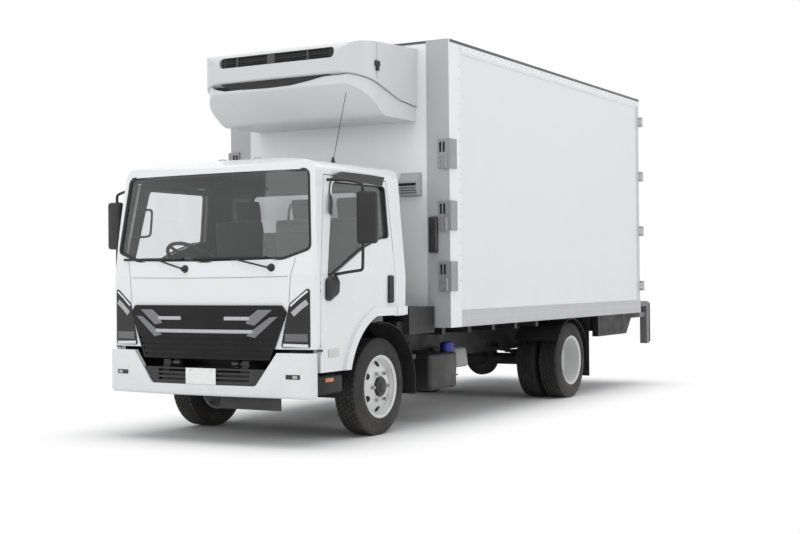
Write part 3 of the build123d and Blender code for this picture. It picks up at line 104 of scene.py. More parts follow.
sky = bpy.data.worlds.new("studio")
sky.use_nodes = True
scene.world = sky
tree = sky.node_tree
tree.nodes.clear()
white = new_node(tree, "ShaderNodeBackground", {"Color": (1, 1, 1, 1), "Strength": 1.0})
fill = new_node(tree, "ShaderNodeBackground", {"Color": (0.97, 0.98, 1.0, 1), "Strength": 0.6})
choice = new_node(tree, "ShaderNodeMixShader")
out = new_node(tree, "ShaderNodeOutputWorld")
tree.links.new(looked_at(tree), choice.inputs[0])
wire(
    tree,
    (fill, 0, choice, 1),
    (white, 0, choice, 2),
    (choice, 0, out, 0),
)

# Columns: name, width, length, watts, place and the point it faces
SOFTBOXES = (
    ("overhead_softbox", 15.0, 9.0, 450.0, (0.0, 1.0, 8.5), (0.0, 0.0, 0.0)),
    ("front_softbox", 7.0, 5.0, 275.0, (13.0, -1.0, 5.0), (2.5, 0.0, 1.4)),
    ("side_softbox", 9.0, 5.0, 165.0, (0.0, 11.0, 5.5), (-0.5, 0.0, 1.5)),
)
for name, wide, long, watts, place, target in SOFTBOXES:
    box_light = bpy.data.lights.new(name, "AREA")
    box_light.shape = "RECTANGLE"
    box_light.size = wide
    box_light.size_y = long
    box_light.energy = watts
    softbox = bpy.data.objects.new(name, box_light)
    softbox.location = place
    softbox.rotation_euler = (Vector(target) - Vector(place)).to_track_quat("-Z", "Y").to_euler()
    softbox.visible_glossy = name != "front_softbox"
    scene.collection.objects.link(softbox)

paper = bpy.data.meshes.new("paper_floor")
FLOOR_HALF = 60
sheet = [(x * FLOOR_HALF, y * FLOOR_HALF, 0) for x, y in ((-1, -1), (1, -1), (1, 1), (-1, 1))]
paper.from_pydata(sheet, [], [(0, 1, 2, 3)])
floor = bpy.data.objects.new("paper_floor", paper)
scene.collection.objects.link(floor)
sheet_white = bpy.data.materials.new("floor_paper")
sheet_white.use_nodes = True
tree = sheet_white.node_tree
tree.nodes.clear()
matt = new_node(tree, "ShaderNodeBsdfDiffuse", {"Color": (0.9, 0.9, 0.9, 1)})
glow = new_node(tree, "ShaderNodeEmission", {"Strength": 1.0})
last = new_node(tree, "ShaderNodeTexCoord").outputs["Object"]
SHADOW_HALF, SHADOW_FADE = (3.25, 0.85, 0.0), 1.1
# Columns: step and its value, to find how far a point of the floor lies outside the truck's shadow
for step, value in (
    ("ABSOLUTE", None), ("SUBTRACT", SHADOW_HALF), ("MAXIMUM", (0.0, 0.0, 0.0)), ("LENGTH", None)
):
    measure = new_node(tree, "ShaderNodeVectorMath", {1: value} if value else (), operation=step)
    tree.links.new(last, measure.inputs[0])
    last = measure.outputs["Value" if step == "LENGTH" else "Vector"]
clear = new_node(tree, "ShaderNodeMapRange", {"From Min": 0.0, "From Max": SHADOW_FADE})
clear.interpolation_type = "SMOOTHSTEP"
share = new_node(tree, "ShaderNodeMath", operation="MULTIPLY")
blend = new_node(tree, "ShaderNodeMixShader")
out = new_node(tree, "ShaderNodeOutputMaterial")
tree.links.new(last, clear.inputs["Value"])
tree.links.new(looked_at(tree), share.inputs[0])
wire(
    tree,
    (clear, 0, share, 1),
    (share, 0, blend, 0),
    (matt, 0, blend, 1),
    (glow, 0, blend, 2),
    (blend, 0, out, 0),
)
paper.materials.append(sheet_white)
floor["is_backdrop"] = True

# Ladder frame: pressed channel rails, axles, springs and brackets in black chassis paint.
# Road dust lies on them, heavier low down, so three shared effects are made here for every finish.


def effect(name, kind, inputs, outputs):
    """A node group with named sockets, its two end nodes and its inputs' identifiers."""
    group = bpy.data.node_groups.new(name, kind)
    known = {}
    for label, socket_kind, value in inputs:
        socket = group.interface.new_socket(label, in_out="INPUT", socket_type=socket_kind)
        known[label] = socket.identifier
        if value is not None:
            socket.default_value = value
    for label, socket_kind in outputs:
        group.interface.new_socket(label, in_out="OUTPUT", socket_type=socket_kind)
    return group, new_node(group, "NodeGroupInput"), new_node(group, "NodeGroupOutput"), known


colour_in, value_in, vector_in = "NodeSocketColor", "NodeSocketFloat", "NodeSocketVector"
road_dust, start, end, _ = effect(
    "road_dust",
    "ShaderNodeTree",
    (
        ("Paint", colour_in, (0.5, 0.5, 0.5, 1)),
        ("Dust", colour_in, (0.2, 0.18, 0.16, 1)),
        ("Amount", value_in, 0.2),
        ("Reach", value_in, 1.0),
    ),
    (("Color", colour_in), ("Mask", value_in)),
)
place = new_node(road_dust, "ShaderNodeTexCoord")
parts = new_node(road_dust, "ShaderNodeSeparateXYZ")
fall = new_node(road_dust, "ShaderNodeMapRange", {"To Min": 1.0, "To Max": 0.12})
cloud = new_node(road_dust, "ShaderNodeTexNoise", {"Scale": 3.2, "Detail": 7.0, "Roughness": 0.62})
spots = new_node(road_dust, "ShaderNodeMapRange", {"From Min": 0.35, "From Max": 0.72})
thick = new_node(road_dust, "ShaderNodeMath", operation="MULTIPLY")
mask = new_node(road_dust, "ShaderNodeMath", operation="MULTIPLY")
mask.use_clamp = True
mixed = new_node(road_dust, "ShaderNodeMix")
mixed.data_type = "RGBA"
wire(
    road_dust,
    (place, "Object", parts, 0),
    (place, "Object", cloud, "Vector"),
    (parts, "Z", fall, "Value"),
    (start, "Reach", fall, "From Max"),
    (cloud, "Fac", spots, "Value"),
    (fall, 0, thick, 0),
    (spots, 0, thick, 1),
    (thick, 0, mask, 0),
    (start, "Amount", mask, 1),
    (mask, 0, mixed, "Factor"),
    (start, "Paint", mixed, "A"),
    (start, "Dust", mixed, "B"),
    (mixed, "Result", end, "Color"),
    (mask, 0, end, "Mask"),
)

worn_gloss, start, end, _ = effect(
    "worn_gloss",
    "ShaderNodeTree",
    (("Scale", value_in, 9.0), ("Bright", value_in, 0.25), ("Dull", value_in, 0.45)),
    (("Roughness", value_in),),
)
place = new_node(worn_gloss, "ShaderNodeTexCoord")
cloud = new_node(worn_gloss, "ShaderNodeTexNoise", {"Detail": 6.0})
spread = new_node(worn_gloss, "ShaderNodeMapRange", {"From Min": 0.3, "From Max": 0.7})
wire(
    worn_gloss,
    (place, "Object", cloud, "Vector"),
    (start, "Scale", cloud, "Scale"),
    (cloud, "Fac", spread, "Value"),
    (start, "Bright", spread, "To Min"),
    (start, "Dull", spread, "To Max"),
    (spread, 0, end, "Roughness"),
)

surface_grain, start, end, _ = effect(
    "surface_grain",
    "ShaderNodeTree",
    (("Scale", value_in, 300.0), ("Depth", value_in, 0.02)),
    (("Normal", vector_in),),
)
place = new_node(surface_grain, "ShaderNodeTexCoord")
cloud = new_node(surface_grain, "ShaderNodeTexNoise", {"Detail": 3.0})
bump = new_node(surface_grain, "ShaderNodeBump", {"Distance": 0.01})
wire(
    surface_grain,
    (place, "Object", cloud, "Vector"),
    (start, "Scale", cloud, "Scale"),
    (cloud, "Fac", bump, "Height"),
    (start, "Depth", bump, "Strength"),
    (bump, "Normal", end, "Normal"),
)


def layered(tree, group, values, given, taken):
    """Lays a shared effect on one socket of a material's shader."""
    layer = new_node(tree, "ShaderNodeGroup")
    layer.node_tree = group
    layer.name = group.name
    for label, value in values.items():
        layer.inputs[label].default_value = value
    wire(tree, (layer, given, tree.nodes["Principled BSDF"], taken))


def finish(name, colour, gloss, dust=0.1, reach=1.0, grain=(300.0, 0.02), metal=0.0, coat=0.0):
    """A coated surface: colour under road dust, uneven gloss and a fine grain."""
    material = bpy.data.materials.new(name)
    material.use_nodes = True
    tree = material.node_tree
    shader = tree.nodes["Principled BSDF"]
    shader.inputs["Metallic"].default_value = metal
    shader.inputs["Coat Weight"].default_value = coat
    shader.inputs["Coat Roughness"].default_value = 0.06
    # Columns: effect, its values, its output and the shader's socket
    table = (
        (road_dust, {"Paint": (*colour, 1), "Amount": dust, "Reach": reach}, "Color", "Base Color"),
        (worn_gloss, {"Bright": gloss[0], "Dull": gloss[1]}, "Roughness", "Roughness"),
        (surface_grain, {"Scale": grain[0], "Depth": grain[1]}, "Normal", "Normal"),
    )
    for group, values, given, taken in table:
        layered(tree, group, values, given, taken)
    return material


def dress(material, *names):
    """Gives a finish to CAD nodes."""
    for name in names:
        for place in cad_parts[name].material_slots:
            place.material = material


chassis_black = finish(
    "chassis_black", (0.012, 0.012, 0.013), (0.35, 0.6), dust=0.16, reach=0.9, grain=(180.0, 0.05)
)
cast_iron = finish("cast_iron", (0.028, 0.027, 0.026), (0.55, 0.8), dust=0.3, reach=0.8, grain=(120.0, 0.2))
dress(chassis_black, "chassis_frame", "cross_members", "leaf_springs", "tie_rod", "body_bearers")
dress(cast_iron, "front_axle_beam", "rear_axle", "knuckle_left", "knuckle_right", "engine_block", "driveline")
moulded_black = finish("moulded_black", (0.014, 0.014, 0.015), (0.42, 0.62), dust=0.12, grain=(700.0, 0.12))
aluminised = finish(
    "aluminised_steel", (0.42, 0.41, 0.4), (0.35, 0.6), dust=0.35, reach=0.8, grain=(90.0, 0.1), metal=1.0
)
dress(moulded_black, "battery_box", "mudguards")
dress(aluminised, "exhaust")

# Fasteners: pressed rivets, hexagon nuts and screw heads, set out in rows on flat or round faces.
# One tree of nodes puts a head on every point of a row, turned to the way its face looks.
geometry_in = "NodeSocketGeometry"
fasteners, start, end, row_sockets = effect(
    "fastener_rows",
    "GeometryNodeTree",
    (
        ("Geometry", geometry_in, None),
        ("Sides", "NodeSocketInt", 8),
        ("Foot", value_in, 0.008),
        ("Crown", value_in, 0.004),
        ("Height", value_in, 0.004),
        ("Turn", vector_in, (0.0, 0.0, 0.0)),
        ("Finish", "NodeSocketMaterial", None),
    ),
    (("Geometry", geometry_in),),
)
spots = new_node(fasteners, "GeometryNodeMeshToPoints")
head = new_node(fasteners, "GeometryNodeMeshCone")
rows = new_node(fasteners, "GeometryNodeInstanceOnPoints")
real = new_node(fasteners, "GeometryNodeRealizeInstances")
painted = new_node(fasteners, "GeometryNodeSetMaterial")
wire(
    fasteners,
    (start, "Geometry", spots, "Mesh"),
    (start, "Sides", head, "Vertices"),
    (start, "Foot", head, "Radius Bottom"),
    (start, "Crown", head, "Radius Top"),
    (start, "Height", head, "Depth"),
    (spots, "Points", rows, "Points"),
    (head, "Mesh", rows, "Instance"),
    (start, "Turn", rows, "Rotation"),
    (rows, "Instances", real, "Geometry"),
    (real, "Geometry", painted, "Geometry"),
    (start, "Finish", painted, "Material"),
    (painted, "Geometry", end, "Geometry"),
)

FACING = {
    "+Y": (-math.pi / 2, 0, 0),
    "-Y": (math.pi / 2, 0, 0),
    "+X": (0, math.pi / 2, 0),
    "-X": (0, -math.pi / 2, 0),
    "+Z": (0, 0, 0),
}


def evaluated(holder):
    """Corners and faces of an object with its bevel or modifiers."""
    made = bpy.data.meshes.new_from_object(holder.evaluated_get(bpy.context.evaluated_depsgraph_get()))
    verts = [v.co.copy() for v in made.vertices]
    faces = [list(f.vertices) for f in made.polygons]
    bpy.data.meshes.remove(made)
    return verts, faces


def grown(points, group, sockets, values):
    """Corners and faces that a tree of nodes makes from points and values."""
    mesh = bpy.data.meshes.new("row_points")
    mesh.from_pydata([tuple(p) for p in points], [], [])
    holder = bpy.data.objects.new("row_points", mesh)
    scene.collection.objects.link(holder)
    rule = holder.modifiers.new("rows", "NODES")
    rule.node_group = group
    for label, value in values.items():
        rule[sockets[label]] = value
    shape = evaluated(holder)
    holder.modifiers.remove(rule)
    bpy.data.objects.remove(holder)
    bpy.data.meshes.remove(mesh)
    return shape


MERGE, CREASE = 1e-6, math.radians(35)


def piece(name, verts, faces, material, body, slot, smooth=False):
    """A finished mesh piece that rides on a body."""
    mesh = bpy.data.meshes.new(name)
    mesh.from_pydata([tuple(v) for v in verts], [], faces)
    tidy = bmesh.new()
    tidy.from_mesh(mesh)
    bmesh.ops.remove_doubles(tidy, verts=tidy.verts, dist=MERGE)
    bmesh.ops.recalc_face_normals(tidy, faces=tidy.faces)
    tidy.to_mesh(mesh)
    tidy.free()
    mesh.materials.append(material)
    if smooth:
        mesh.shade_smooth()
        mesh.set_sharp_from_angle(angle=CREASE)
    thing = bpy.data.objects.new(name, mesh)
    scene.collection.objects.link(thing)
    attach(thing, body)
    return thing


def gathered(parts):
    """One list of corners and faces from several."""
    verts, faces = [], []
    for more, rest in parts:
        faces += [[i + len(verts) for i in face] for face in rest]
        verts += more
    return verts, faces


def fastener_row(name, groups, sides, foot, crown, height, material, body, slot):
    """Heads of one kind on a body, from (facing, points) groups."""
    values = {"Sides": sides, "Foot": foot, "Crown": crown, "Height": height, "Finish": material}
    parts = [
        grown(points, fasteners, row_sockets, {**values, "Turn": FACING[facing]}) for facing, points in groups
    ]
    piece(name, *gathered(parts), material, body, slot)


# Tyres: rubber casings with a flat belted tread of five block rows, plain sidewalls and a ridge at the bead.
# The casing is turned, and a tree of nodes sets the blocks round it, half a pitch apart from row to row.
rubber = finish("tyre_rubber", (0.014, 0.014, 0.014), (0.6, 0.82), dust=0.35, reach=0.5, grain=(220.0, 0.12))
TREAD_RADIUS, TREAD_DEPTH, BLOCKS_ROUND = 0.402, 0.010, 54
ground = TREAD_RADIUS - TREAD_DEPTH
half_casing = [
    (0.250, 0.097), (0.258, 0.106), (0.266, 0.106), (0.270, 0.1085), (0.298, 0.1125), (0.301, 0.1145),
    (0.306, 0.1145), (0.309, 0.113), (0.332, 0.1125), (0.352, 0.1085), (0.370, 0.1020), (0.383, 0.0960),
    (ground - 0.002, 0.0925), (ground, 0.088),
]
casing = half_casing + [(r, -a) for r, a in reversed(half_casing)] + [half_casing[0]]

tread_row, start, end, tread_sockets = effect(
    "tread_row",
    "GeometryNodeTree",
    (
        ("Count", "NodeSocketInt", BLOCKS_ROUND),
        ("Radius", value_in, 0.39),
        ("Block", vector_in, (0.03, 0.03, 0.01)),
        ("Phase", value_in, 0.0),
        ("Across", value_in, 0.0),
        ("Finish", "NodeSocketMaterial", None),
    ),
    (("Geometry", geometry_in),),
)
hoop = new_node(tread_row, "GeometryNodeMeshCircle")
upright = new_node(tread_row, "GeometryNodeTransform", {"Rotation": (math.pi / 2, 0, 0)})
block = new_node(tread_row, "GeometryNodeMeshCube")
where = new_node(tread_row, "GeometryNodeInputPosition")
facing = new_node(tread_row, "FunctionNodeAlignRotationToVector")
facing.axis = "Z"
facing.pivot_axis = "Y"
rows = new_node(tread_row, "GeometryNodeInstanceOnPoints")
real = new_node(tread_row, "GeometryNodeRealizeInstances")
shift = new_node(tread_row, "GeometryNodeTransform")
turn = new_node(tread_row, "ShaderNodeCombineXYZ")
step = new_node(tread_row, "ShaderNodeCombineXYZ")
painted = new_node(tread_row, "GeometryNodeSetMaterial")
wire(
    tread_row,
    (start, "Count", hoop, "Vertices"),
    (start, "Radius", hoop, "Radius"),
    (hoop, "Mesh", upright, "Geometry"),
    (upright, "Geometry", rows, "Points"),
    (start, "Block", block, "Size"),
    (block, "Mesh", rows, "Instance"),
    (where, "Position", facing, "Vector"),
    (facing, "Rotation", rows, "Rotation"),
    (rows, "Instances", real, "Geometry"),
    (real, "Geometry", shift, "Geometry"),
    (start, "Phase", turn, "Y"),
    (start, "Across", step, "Y"),
    (turn, "Vector", shift, "Rotation"),
    (step, "Vector", shift, "Translation"),
    (shift, "Geometry", painted, "Geometry"),
    (start, "Finish", painted, "Material"),
    (painted, "Geometry", end, "Geometry"),
)


def lathe(profile, centre, steps, way="Y"):
    """Corners and faces of a ring: (radius, along) points turned about an axis through centre."""
    verts, faces = [], []
    count = len(profile)
    for step in range(steps):
        angle = 2 * math.pi * step / steps
        for radius, along in profile:
            c, s = radius * math.cos(angle), radius * math.sin(angle)
            offset = {"X": (along, c, s), "Y": (c, along, s), "Z": (c, s, along)}[way]
            verts.append(Vector(centre) + Vector(offset))
        for i in range(count - 1):
            a, b = step * count + i, (step + 1) % steps * count + i
            faces.append([a, a + 1, b + 1, b])
    return verts, faces


tyre_parts = [lathe(casing, (0, 0, 0), 96)]
BLOCK_LONG = 0.0405
same = {"Count": BLOCKS_ROUND, "Radius": ground + TREAD_DEPTH / 2 - 0.001, "Finish": rubber}
# Columns: place across the tread, block's width and its turn in pitches
for across, wide, phase in (
    (-0.0735, 0.034, 0.0),
    (-0.0365, 0.031, 0.5),
    (0.0, 0.031, 0.0),
    (0.0365, 0.031, 0.5),
    (0.0735, 0.034, 0.0),
):
    own = {
        "Block": (BLOCK_LONG, wide, TREAD_DEPTH),
        "Phase": phase * 2 * math.pi / BLOCKS_ROUND,
        "Across": across,
    }
    tyre_parts.append(grown([], tread_row, tread_sockets, {**same, **own}))
tyre_verts, tyre_faces = gathered(tyre_parts)

HUB, REAR_AXLE = TREAD_RADIUS, AXLE - 3.815
# Columns: node it stands for, body, its axle's place and the places across the truck of its tyres
for node, body, x, places in (
    ("tyre_front_left", "wheel_front_left", AXLE, (0.84,)),
    ("tyre_front_right", "wheel_front_right", AXLE, (-0.84,)),
    ("tyres_rear_left", "wheel_rear_left", REAR_AXLE, (0.694, 0.956)),
    ("tyres_rear_right", "wheel_rear_right", REAR_AXLE, (-0.694, -0.956)),
):
    moved = [([v + Vector((x, y, HUB)) for v in tyre_verts], tyre_faces) for y in places]
    tyre = piece(node + "_tread", *gathered(moved), rubber, body, "tyre_rubber", smooth=True)
    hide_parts(node)

# Wheels: pressed steel discs in silver paint, welded into rolled rims and held by six nuts round a black hub.
# The front discs are domed; flange, nuts, cap and a painted shade in each hand hole are laid on every wheel.
wheel_silver = finish(
    "wheel_silver", (0.72, 0.72, 0.72), (0.28, 0.5), dust=0.18, reach=0.55, grain=(160.0, 0.05)
)
hub_black = finish("hub_black", (0.02, 0.02, 0.021), (0.35, 0.55), dust=0.25, reach=0.6, grain=(140.0, 0.06))
hole_shade = finish("hole_shade", (0.01, 0.01, 0.01), (0.8, 0.9), reach=0.6)
zinc_nut = finish("zinc_nut", (0.45, 0.45, 0.44), (0.3, 0.5), dust=0.3, reach=0.6, metal=0.9)
dress(wheel_silver, "rims_rear_left", "rims_rear_right")
FLANGE = [
    (0.236, -0.010), (0.250, -0.010), (0.250, -0.002), (0.257, 0.003), (0.262, 0.008), (0.262, 0.012),
    (0.258, 0.015), (0.252, 0.013), (0.245, 0.007), (0.236, 0.004), (0.236, -0.010),
]
CAP = [
    (0.0, 0.016), (0.030, 0.016), (0.044, 0.010), (0.050, 0.0), (0.074, -0.004), (0.079, -0.012),
    (0.079, -0.050), (0.0, -0.050),
]
DOME_FACE = [
    (0.246, 0.097), (0.240, 0.090), (0.233, 0.062), (0.226, 0.053), (0.214, 0.054), (0.196, 0.067),
    (0.178, 0.079), (0.160, 0.089), (0.148, 0.093), (0.100, 0.093), (0.096, 0.100), (0.090, 0.100),
    (0.086, 0.088), (0.0, 0.088),
]
DOME = DOME_FACE + [(r - 0.001, a - 0.009) for r, a in reversed(DOME_FACE[:-1])] + [DOME_FACE[0]]
DOME.insert(len(DOME_FACE), (0.0, 0.079))
BARREL = [
    (0.250, 0.098), (0.236, 0.078), (0.224, 0.040), (0.224, -0.070), (0.236, -0.088), (0.250, -0.100),
    (0.250, -0.108), (0.240, -0.108), (0.229, -0.090), (0.216, -0.072), (0.216, 0.040), (0.230, 0.078),
    (0.244, 0.098), (0.250, 0.098),
]
NUTS, NUT_CIRCLE, HOLE_CIRCLE = 6, 0.124, 0.198
HOLE_SHADE_DISC = [(0.0, 0.001), (0.0285, 0.001), (0.0285, -0.001), (0.0, -0.001)]


def handed(profile, side, place, steps):
    """A ring about a wheel's axis, from a profile given for the left side."""
    return lathe([(r, side * a) for r, a in profile], place, steps)


# Columns: body, wheel's place and side, then how far out from its middle flange, cap, nuts and the discs of
# painted hole shade lie
for body, x, y, side, flange, cap, nut, cover in (
    ("wheel_front_left", AXLE, 0.84, 1, 0.098, 0.126, 0.104, 0.0),
    ("wheel_front_right", AXLE, -0.84, -1, 0.098, 0.126, 0.104, 0.0),
    ("wheel_rear_left", REAR_AXLE, 0.825, 1, 0.229, 0.094, 0.018, 0.022),
    ("wheel_rear_right", REAR_AXLE, -0.825, -1, 0.229, 0.094, 0.018, 0.022),
):
    ring = handed(FLANGE, side, (x, y + side * flange, HUB), 72)
    piece(body + "_flange", *ring, wheel_silver, body, "rim_paint", smooth=True)
    boss = handed(CAP, side, (x, y + side * cap, HUB), 40)
    piece(body + "_cap", *boss, hub_black, body, "dark_plastic", smooth=True)
    # Each hand hole gets a dark disc sunk in its pocket: painted shade, since the pocket's floor is the white
    # disc.
    hole_shade_discs = []
    for step in range(NUTS):
        angle = 2 * math.pi * (step + 0.5) / NUTS
        out = Vector((math.cos(angle), 0, math.sin(angle)))
        if "front" in body:
            way = out * 0.555 + Vector((0, side * 0.832, 0))
            place = Vector((x, y, HUB)) + out * 0.187 + Vector((0, side * 0.0735, 0))
            verts, faces = lathe(HOLE_SHADE_DISC, (0, 0, 0), 20, "Z")
            turn = way.to_track_quat("Z", "Y").to_matrix()
            hole_shade_discs.append(([turn @ v + place for v in verts], faces))
        else:
            place = (x + HOLE_CIRCLE * math.cos(angle), y + side * cover, HUB + HOLE_CIRCLE * math.sin(angle))
            hole_shade_discs.append(handed(HOLE_SHADE_DISC, side, place, 20))
    piece(body + "_hole_shade", *gathered(hole_shade_discs), hole_shade, body, "dark_plastic")
    if "front" in body:
        parts = [handed(profile, side, (x, y, HUB), 72) for profile in (DOME, BARREL)]
        disc = piece(body + "_disc", *gathered(parts), wheel_silver, body, "rim_paint", smooth=True)
        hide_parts(body.replace("wheel", "rim"))
    points = []
    for step in range(NUTS):
        angle = 2 * math.pi * step / NUTS
        points.append((x + NUT_CIRCLE * math.cos(angle), y + side * nut, HUB + NUT_CIRCLE * math.sin(angle)))
    facing = "+Y" if side > 0 else "-Y"
    fastener_row(body + "_nuts", [(facing, points)], 6, 0.017, 0.015, 0.024, zinc_nut, body, "zinc_steel")

# Cab: pressed steel panels in white gloss paint, lined inside with dark trim, round laminated glass.
# The lining is the same panels from within, so the paint turns dark where a face looks at the cab's middle.
CAB_MIDDLE, LINED_HALF = (AXLE + 0.42, 0.0, 1.52), 1.0


def lined(material, inside):
    """Turns a paint dark on faces that look towards the cab's middle."""
    tree = material.node_tree
    shader = tree.nodes["Principled BSDF"]
    place = new_node(tree, "ShaderNodeTexCoord")
    reach = new_node(tree, "ShaderNodeVectorMath", {1: CAB_MIDDLE}, operation="SUBTRACT")
    look = new_node(tree, "ShaderNodeVectorMath", operation="DOT_PRODUCT")
    inner = new_node(tree, "ShaderNodeMath", {1: 0.0}, operation="LESS_THAN")
    split = new_node(tree, "ShaderNodeSeparateXYZ")
    span = new_node(tree, "ShaderNodeMath", operation="ABSOLUTE")
    within = new_node(tree, "ShaderNodeMath", {1: LINED_HALF}, operation="LESS_THAN")
    both = new_node(tree, "ShaderNodeMath", operation="MULTIPLY")
    trim = new_node(tree, "ShaderNodeMix")
    trim.data_type = "RGBA"
    trim.inputs["B"].default_value = (*inside, 1)
    wire(
        tree,
        (place, "Object", reach, 0),
        (reach, "Vector", look, 0),
        (place, "Normal", look, 1),
        (look, "Value", inner, 0),
        (place, "Object", split, 0),
        (split, "Y", span, 0),
        (span, 0, within, 0),
        (inner, 0, both, 0),
        (within, 0, both, 1),
        (both, 0, trim, "Factor"),
        (tree.nodes["road_dust"], "Color", trim, "A"),
        (trim, "Result", shader, "Base Color"),
    )
    return material


def toned(material, other, source, bounds):
    """Changes a finish to another colour where its place or facing lies within bounds."""
    tree = material.node_tree
    read = new_node(tree, "ShaderNodeTexCoord")
    parts = new_node(tree, "ShaderNodeSeparateXYZ")
    wire(tree, (read, source, parts, 0))
    tone = new_node(tree, "ShaderNodeMix")
    tone.data_type = "RGBA"
    tone.inputs["B"].default_value = (*other, 1)
    share = None
    # Columns of bounds: axis, where the change starts and where it is whole
    for axis, low, high in bounds:
        ramp = new_node(tree, "ShaderNodeMapRange", {"From Min": low, "From Max": high})
        wire(tree, (parts, axis, ramp, "Value"))
        if share:
            both = new_node(tree, "ShaderNodeMath", operation="MULTIPLY")
            tree.links.new(share, both.inputs[0])
            wire(tree, (ramp, 0, both, 1))
            share = both.outputs[0]
        else:
            share = ramp.outputs[0]
    paint = tree.nodes["road_dust"].inputs["Paint"]
    if paint.is_linked:
        tree.links.new(paint.links[0].from_socket, tone.inputs["A"])
    else:
        tone.inputs["A"].default_value = paint.default_value
    tree.links.new(share, tone.inputs["Factor"])
    tree.links.new(tone.outputs["Result"], paint)


LINING = (0.02, 0.02, 0.021)
CAB_PAINT = {"colour": (0.81, 0.82, 0.83), "gloss": (0.16, 0.28), "dust": 0.12, "reach": 0.9, "coat": 0.6}
CAB_PAINT["grain"] = (90.0, 0.006)
cab_white, shell_white = [lined(finish(name, **CAB_PAINT), LINING) for name in ("cab_white", "shell_white")]
toned(shell_white, (0.012, 0.012, 0.013), "Object", (("Z", 0.764, 0.760), ("X", AXLE + 0.60, AXLE + 0.61)))
dress(cab_white, "cab_door_left", "cab_door_right")
dress(shell_white, "cab_shell")

window_glass = bpy.data.materials.new("window_glass")
window_glass.use_nodes = True
tree = window_glass.node_tree
shader = tree.nodes["Principled BSDF"]
shader.inputs["Transmission Weight"].default_value = 1.0
shader.inputs["IOR"].default_value = 1.48
shader.inputs["Metallic"].default_value = 0.0
tint = {"Paint": (0.87, 0.89, 0.89, 1), "Dust": (0.74, 0.76, 0.76, 1), "Amount": 0.25, "Reach": 2.4}
layered(tree, road_dust, tint, "Color", "Base Color")
layered(tree, worn_gloss, {"Bright": 0.0, "Dull": 0.03}, "Roughness", "Roughness")
dress(window_glass, "cab_glass", "door_glass_left", "door_glass_right")

# Window seals: black rubber channels round the windscreen, rear window and door glass.
# Each lies on the panel's edge and laps over the glass.
seal_rubber = finish("seal_rubber", (0.012, 0.012, 0.013), (0.5, 0.7), reach=2.0, grain=(500.0, 0.05))


def skin(*names):
    """The surface of some CAD nodes, to lay trim on."""
    verts, faces = [], []
    for name in names:
        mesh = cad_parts[name].data
        faces += [[i + len(verts) for i in f.vertices] for f in mesh.polygons]
        verts += [v.co.copy() for v in mesh.vertices]
    return BVHTree.FromPolygons(verts, faces)


def landed(tree, points, way):
    """Where points meet a surface when they move along way, each with the surface's own direction."""
    hits = []
    for point in points:
        place, normal, _, _ = tree.ray_cast(Vector(point), Vector(way))
        if normal.dot(Vector(way)) > 0:
            normal = -normal
        hits.append((place, normal))
    return hits


AHEAD, BEHIND, ASIDE = AXLE + 1.4, AXLE - 0.6, 1.4


def on_front(tree, points):
    """Where (across, up) points meet a surface, seen from ahead of the cab."""
    return landed(tree, [(AHEAD, y, z) for y, z in points], (-1, 0, 0))


def on_back(tree, points):
    """Where (across, up) points meet a surface, seen from behind the cab."""
    return landed(tree, [(BEHIND, y, z) for y, z in points], (1, 0, 0))


def on_side(tree, points, side):
    """Where (along, up) points meet a surface, seen from one side of the truck."""
    return landed(tree, [(x, side * ASIDE, z) for x, z in points], (0, -side, 0))


def rounded(corners, radii, steps=6):
    """A closed flat outline with its corners rounded."""
    points = []
    count = len(corners)
    for i in range(count):
        here, before, after = Vector(corners[i]), Vector(corners[i - 1]), Vector(corners[(i + 1) % count])
        one, two = (before - here).normalized(), (after - here).normalized()
        half = one.angle(two) / 2
        reach = min(radii[i] / math.tan(half), 0.49 * (before - here).length, 0.49 * (after - here).length)
        a, b = here + one * reach, here + two * reach
        for step in range(steps + 1):
            t = step / steps
            points.append(a * (1 - t) ** 2 + here * 2 * t * (1 - t) + b * t * t)
    return points


front_skin = skin("cab_shell", "cab_glass")
SCREEN = [
    (-0.955, 1.533), (-0.7258, 1.457), (0.0, 1.445), (0.7258, 1.457), (0.955, 1.533), (0.895, 2.152),
    (-0.895, 2.152),
]


def seal(name, corners, radii, cast, body, lap, spread):
    """A seal round a window: cast lays its outline on the panel and on the glass."""
    shape = rounded(corners, radii)
    middle = sum(shape, Vector((0, 0))) / len(shape)
    verts, faces = [], []
    rows = []
    for offset in (spread, -lap):
        line = []
        for i, p in enumerate(shape):
            along = (shape[(i + 1) % len(shape)] - shape[i - 1]).normalized()
            out = Vector((along.y, -along.x))
            out = out if out.dot(p - middle) > 0 else -out
            line.append(p + out * offset)
        rows.append(cast(line))
    for (panel, out_a), (pane, out_b) in zip(*rows):
        verts += [panel + out_a * 0.003, pane + out_b * 0.006, pane - out_b * 0.004, panel - out_a * 0.008]
    count = len(shape)
    for i in range(count):
        a, b = i * 4, (i + 1) % count * 4
        faces += [[a + j, a + (j + 1) % 4, b + (j + 1) % 4, b + j] for j in range(4)]
    piece(name, verts, faces, seal_rubber, body, "dark_plastic", smooth=True)


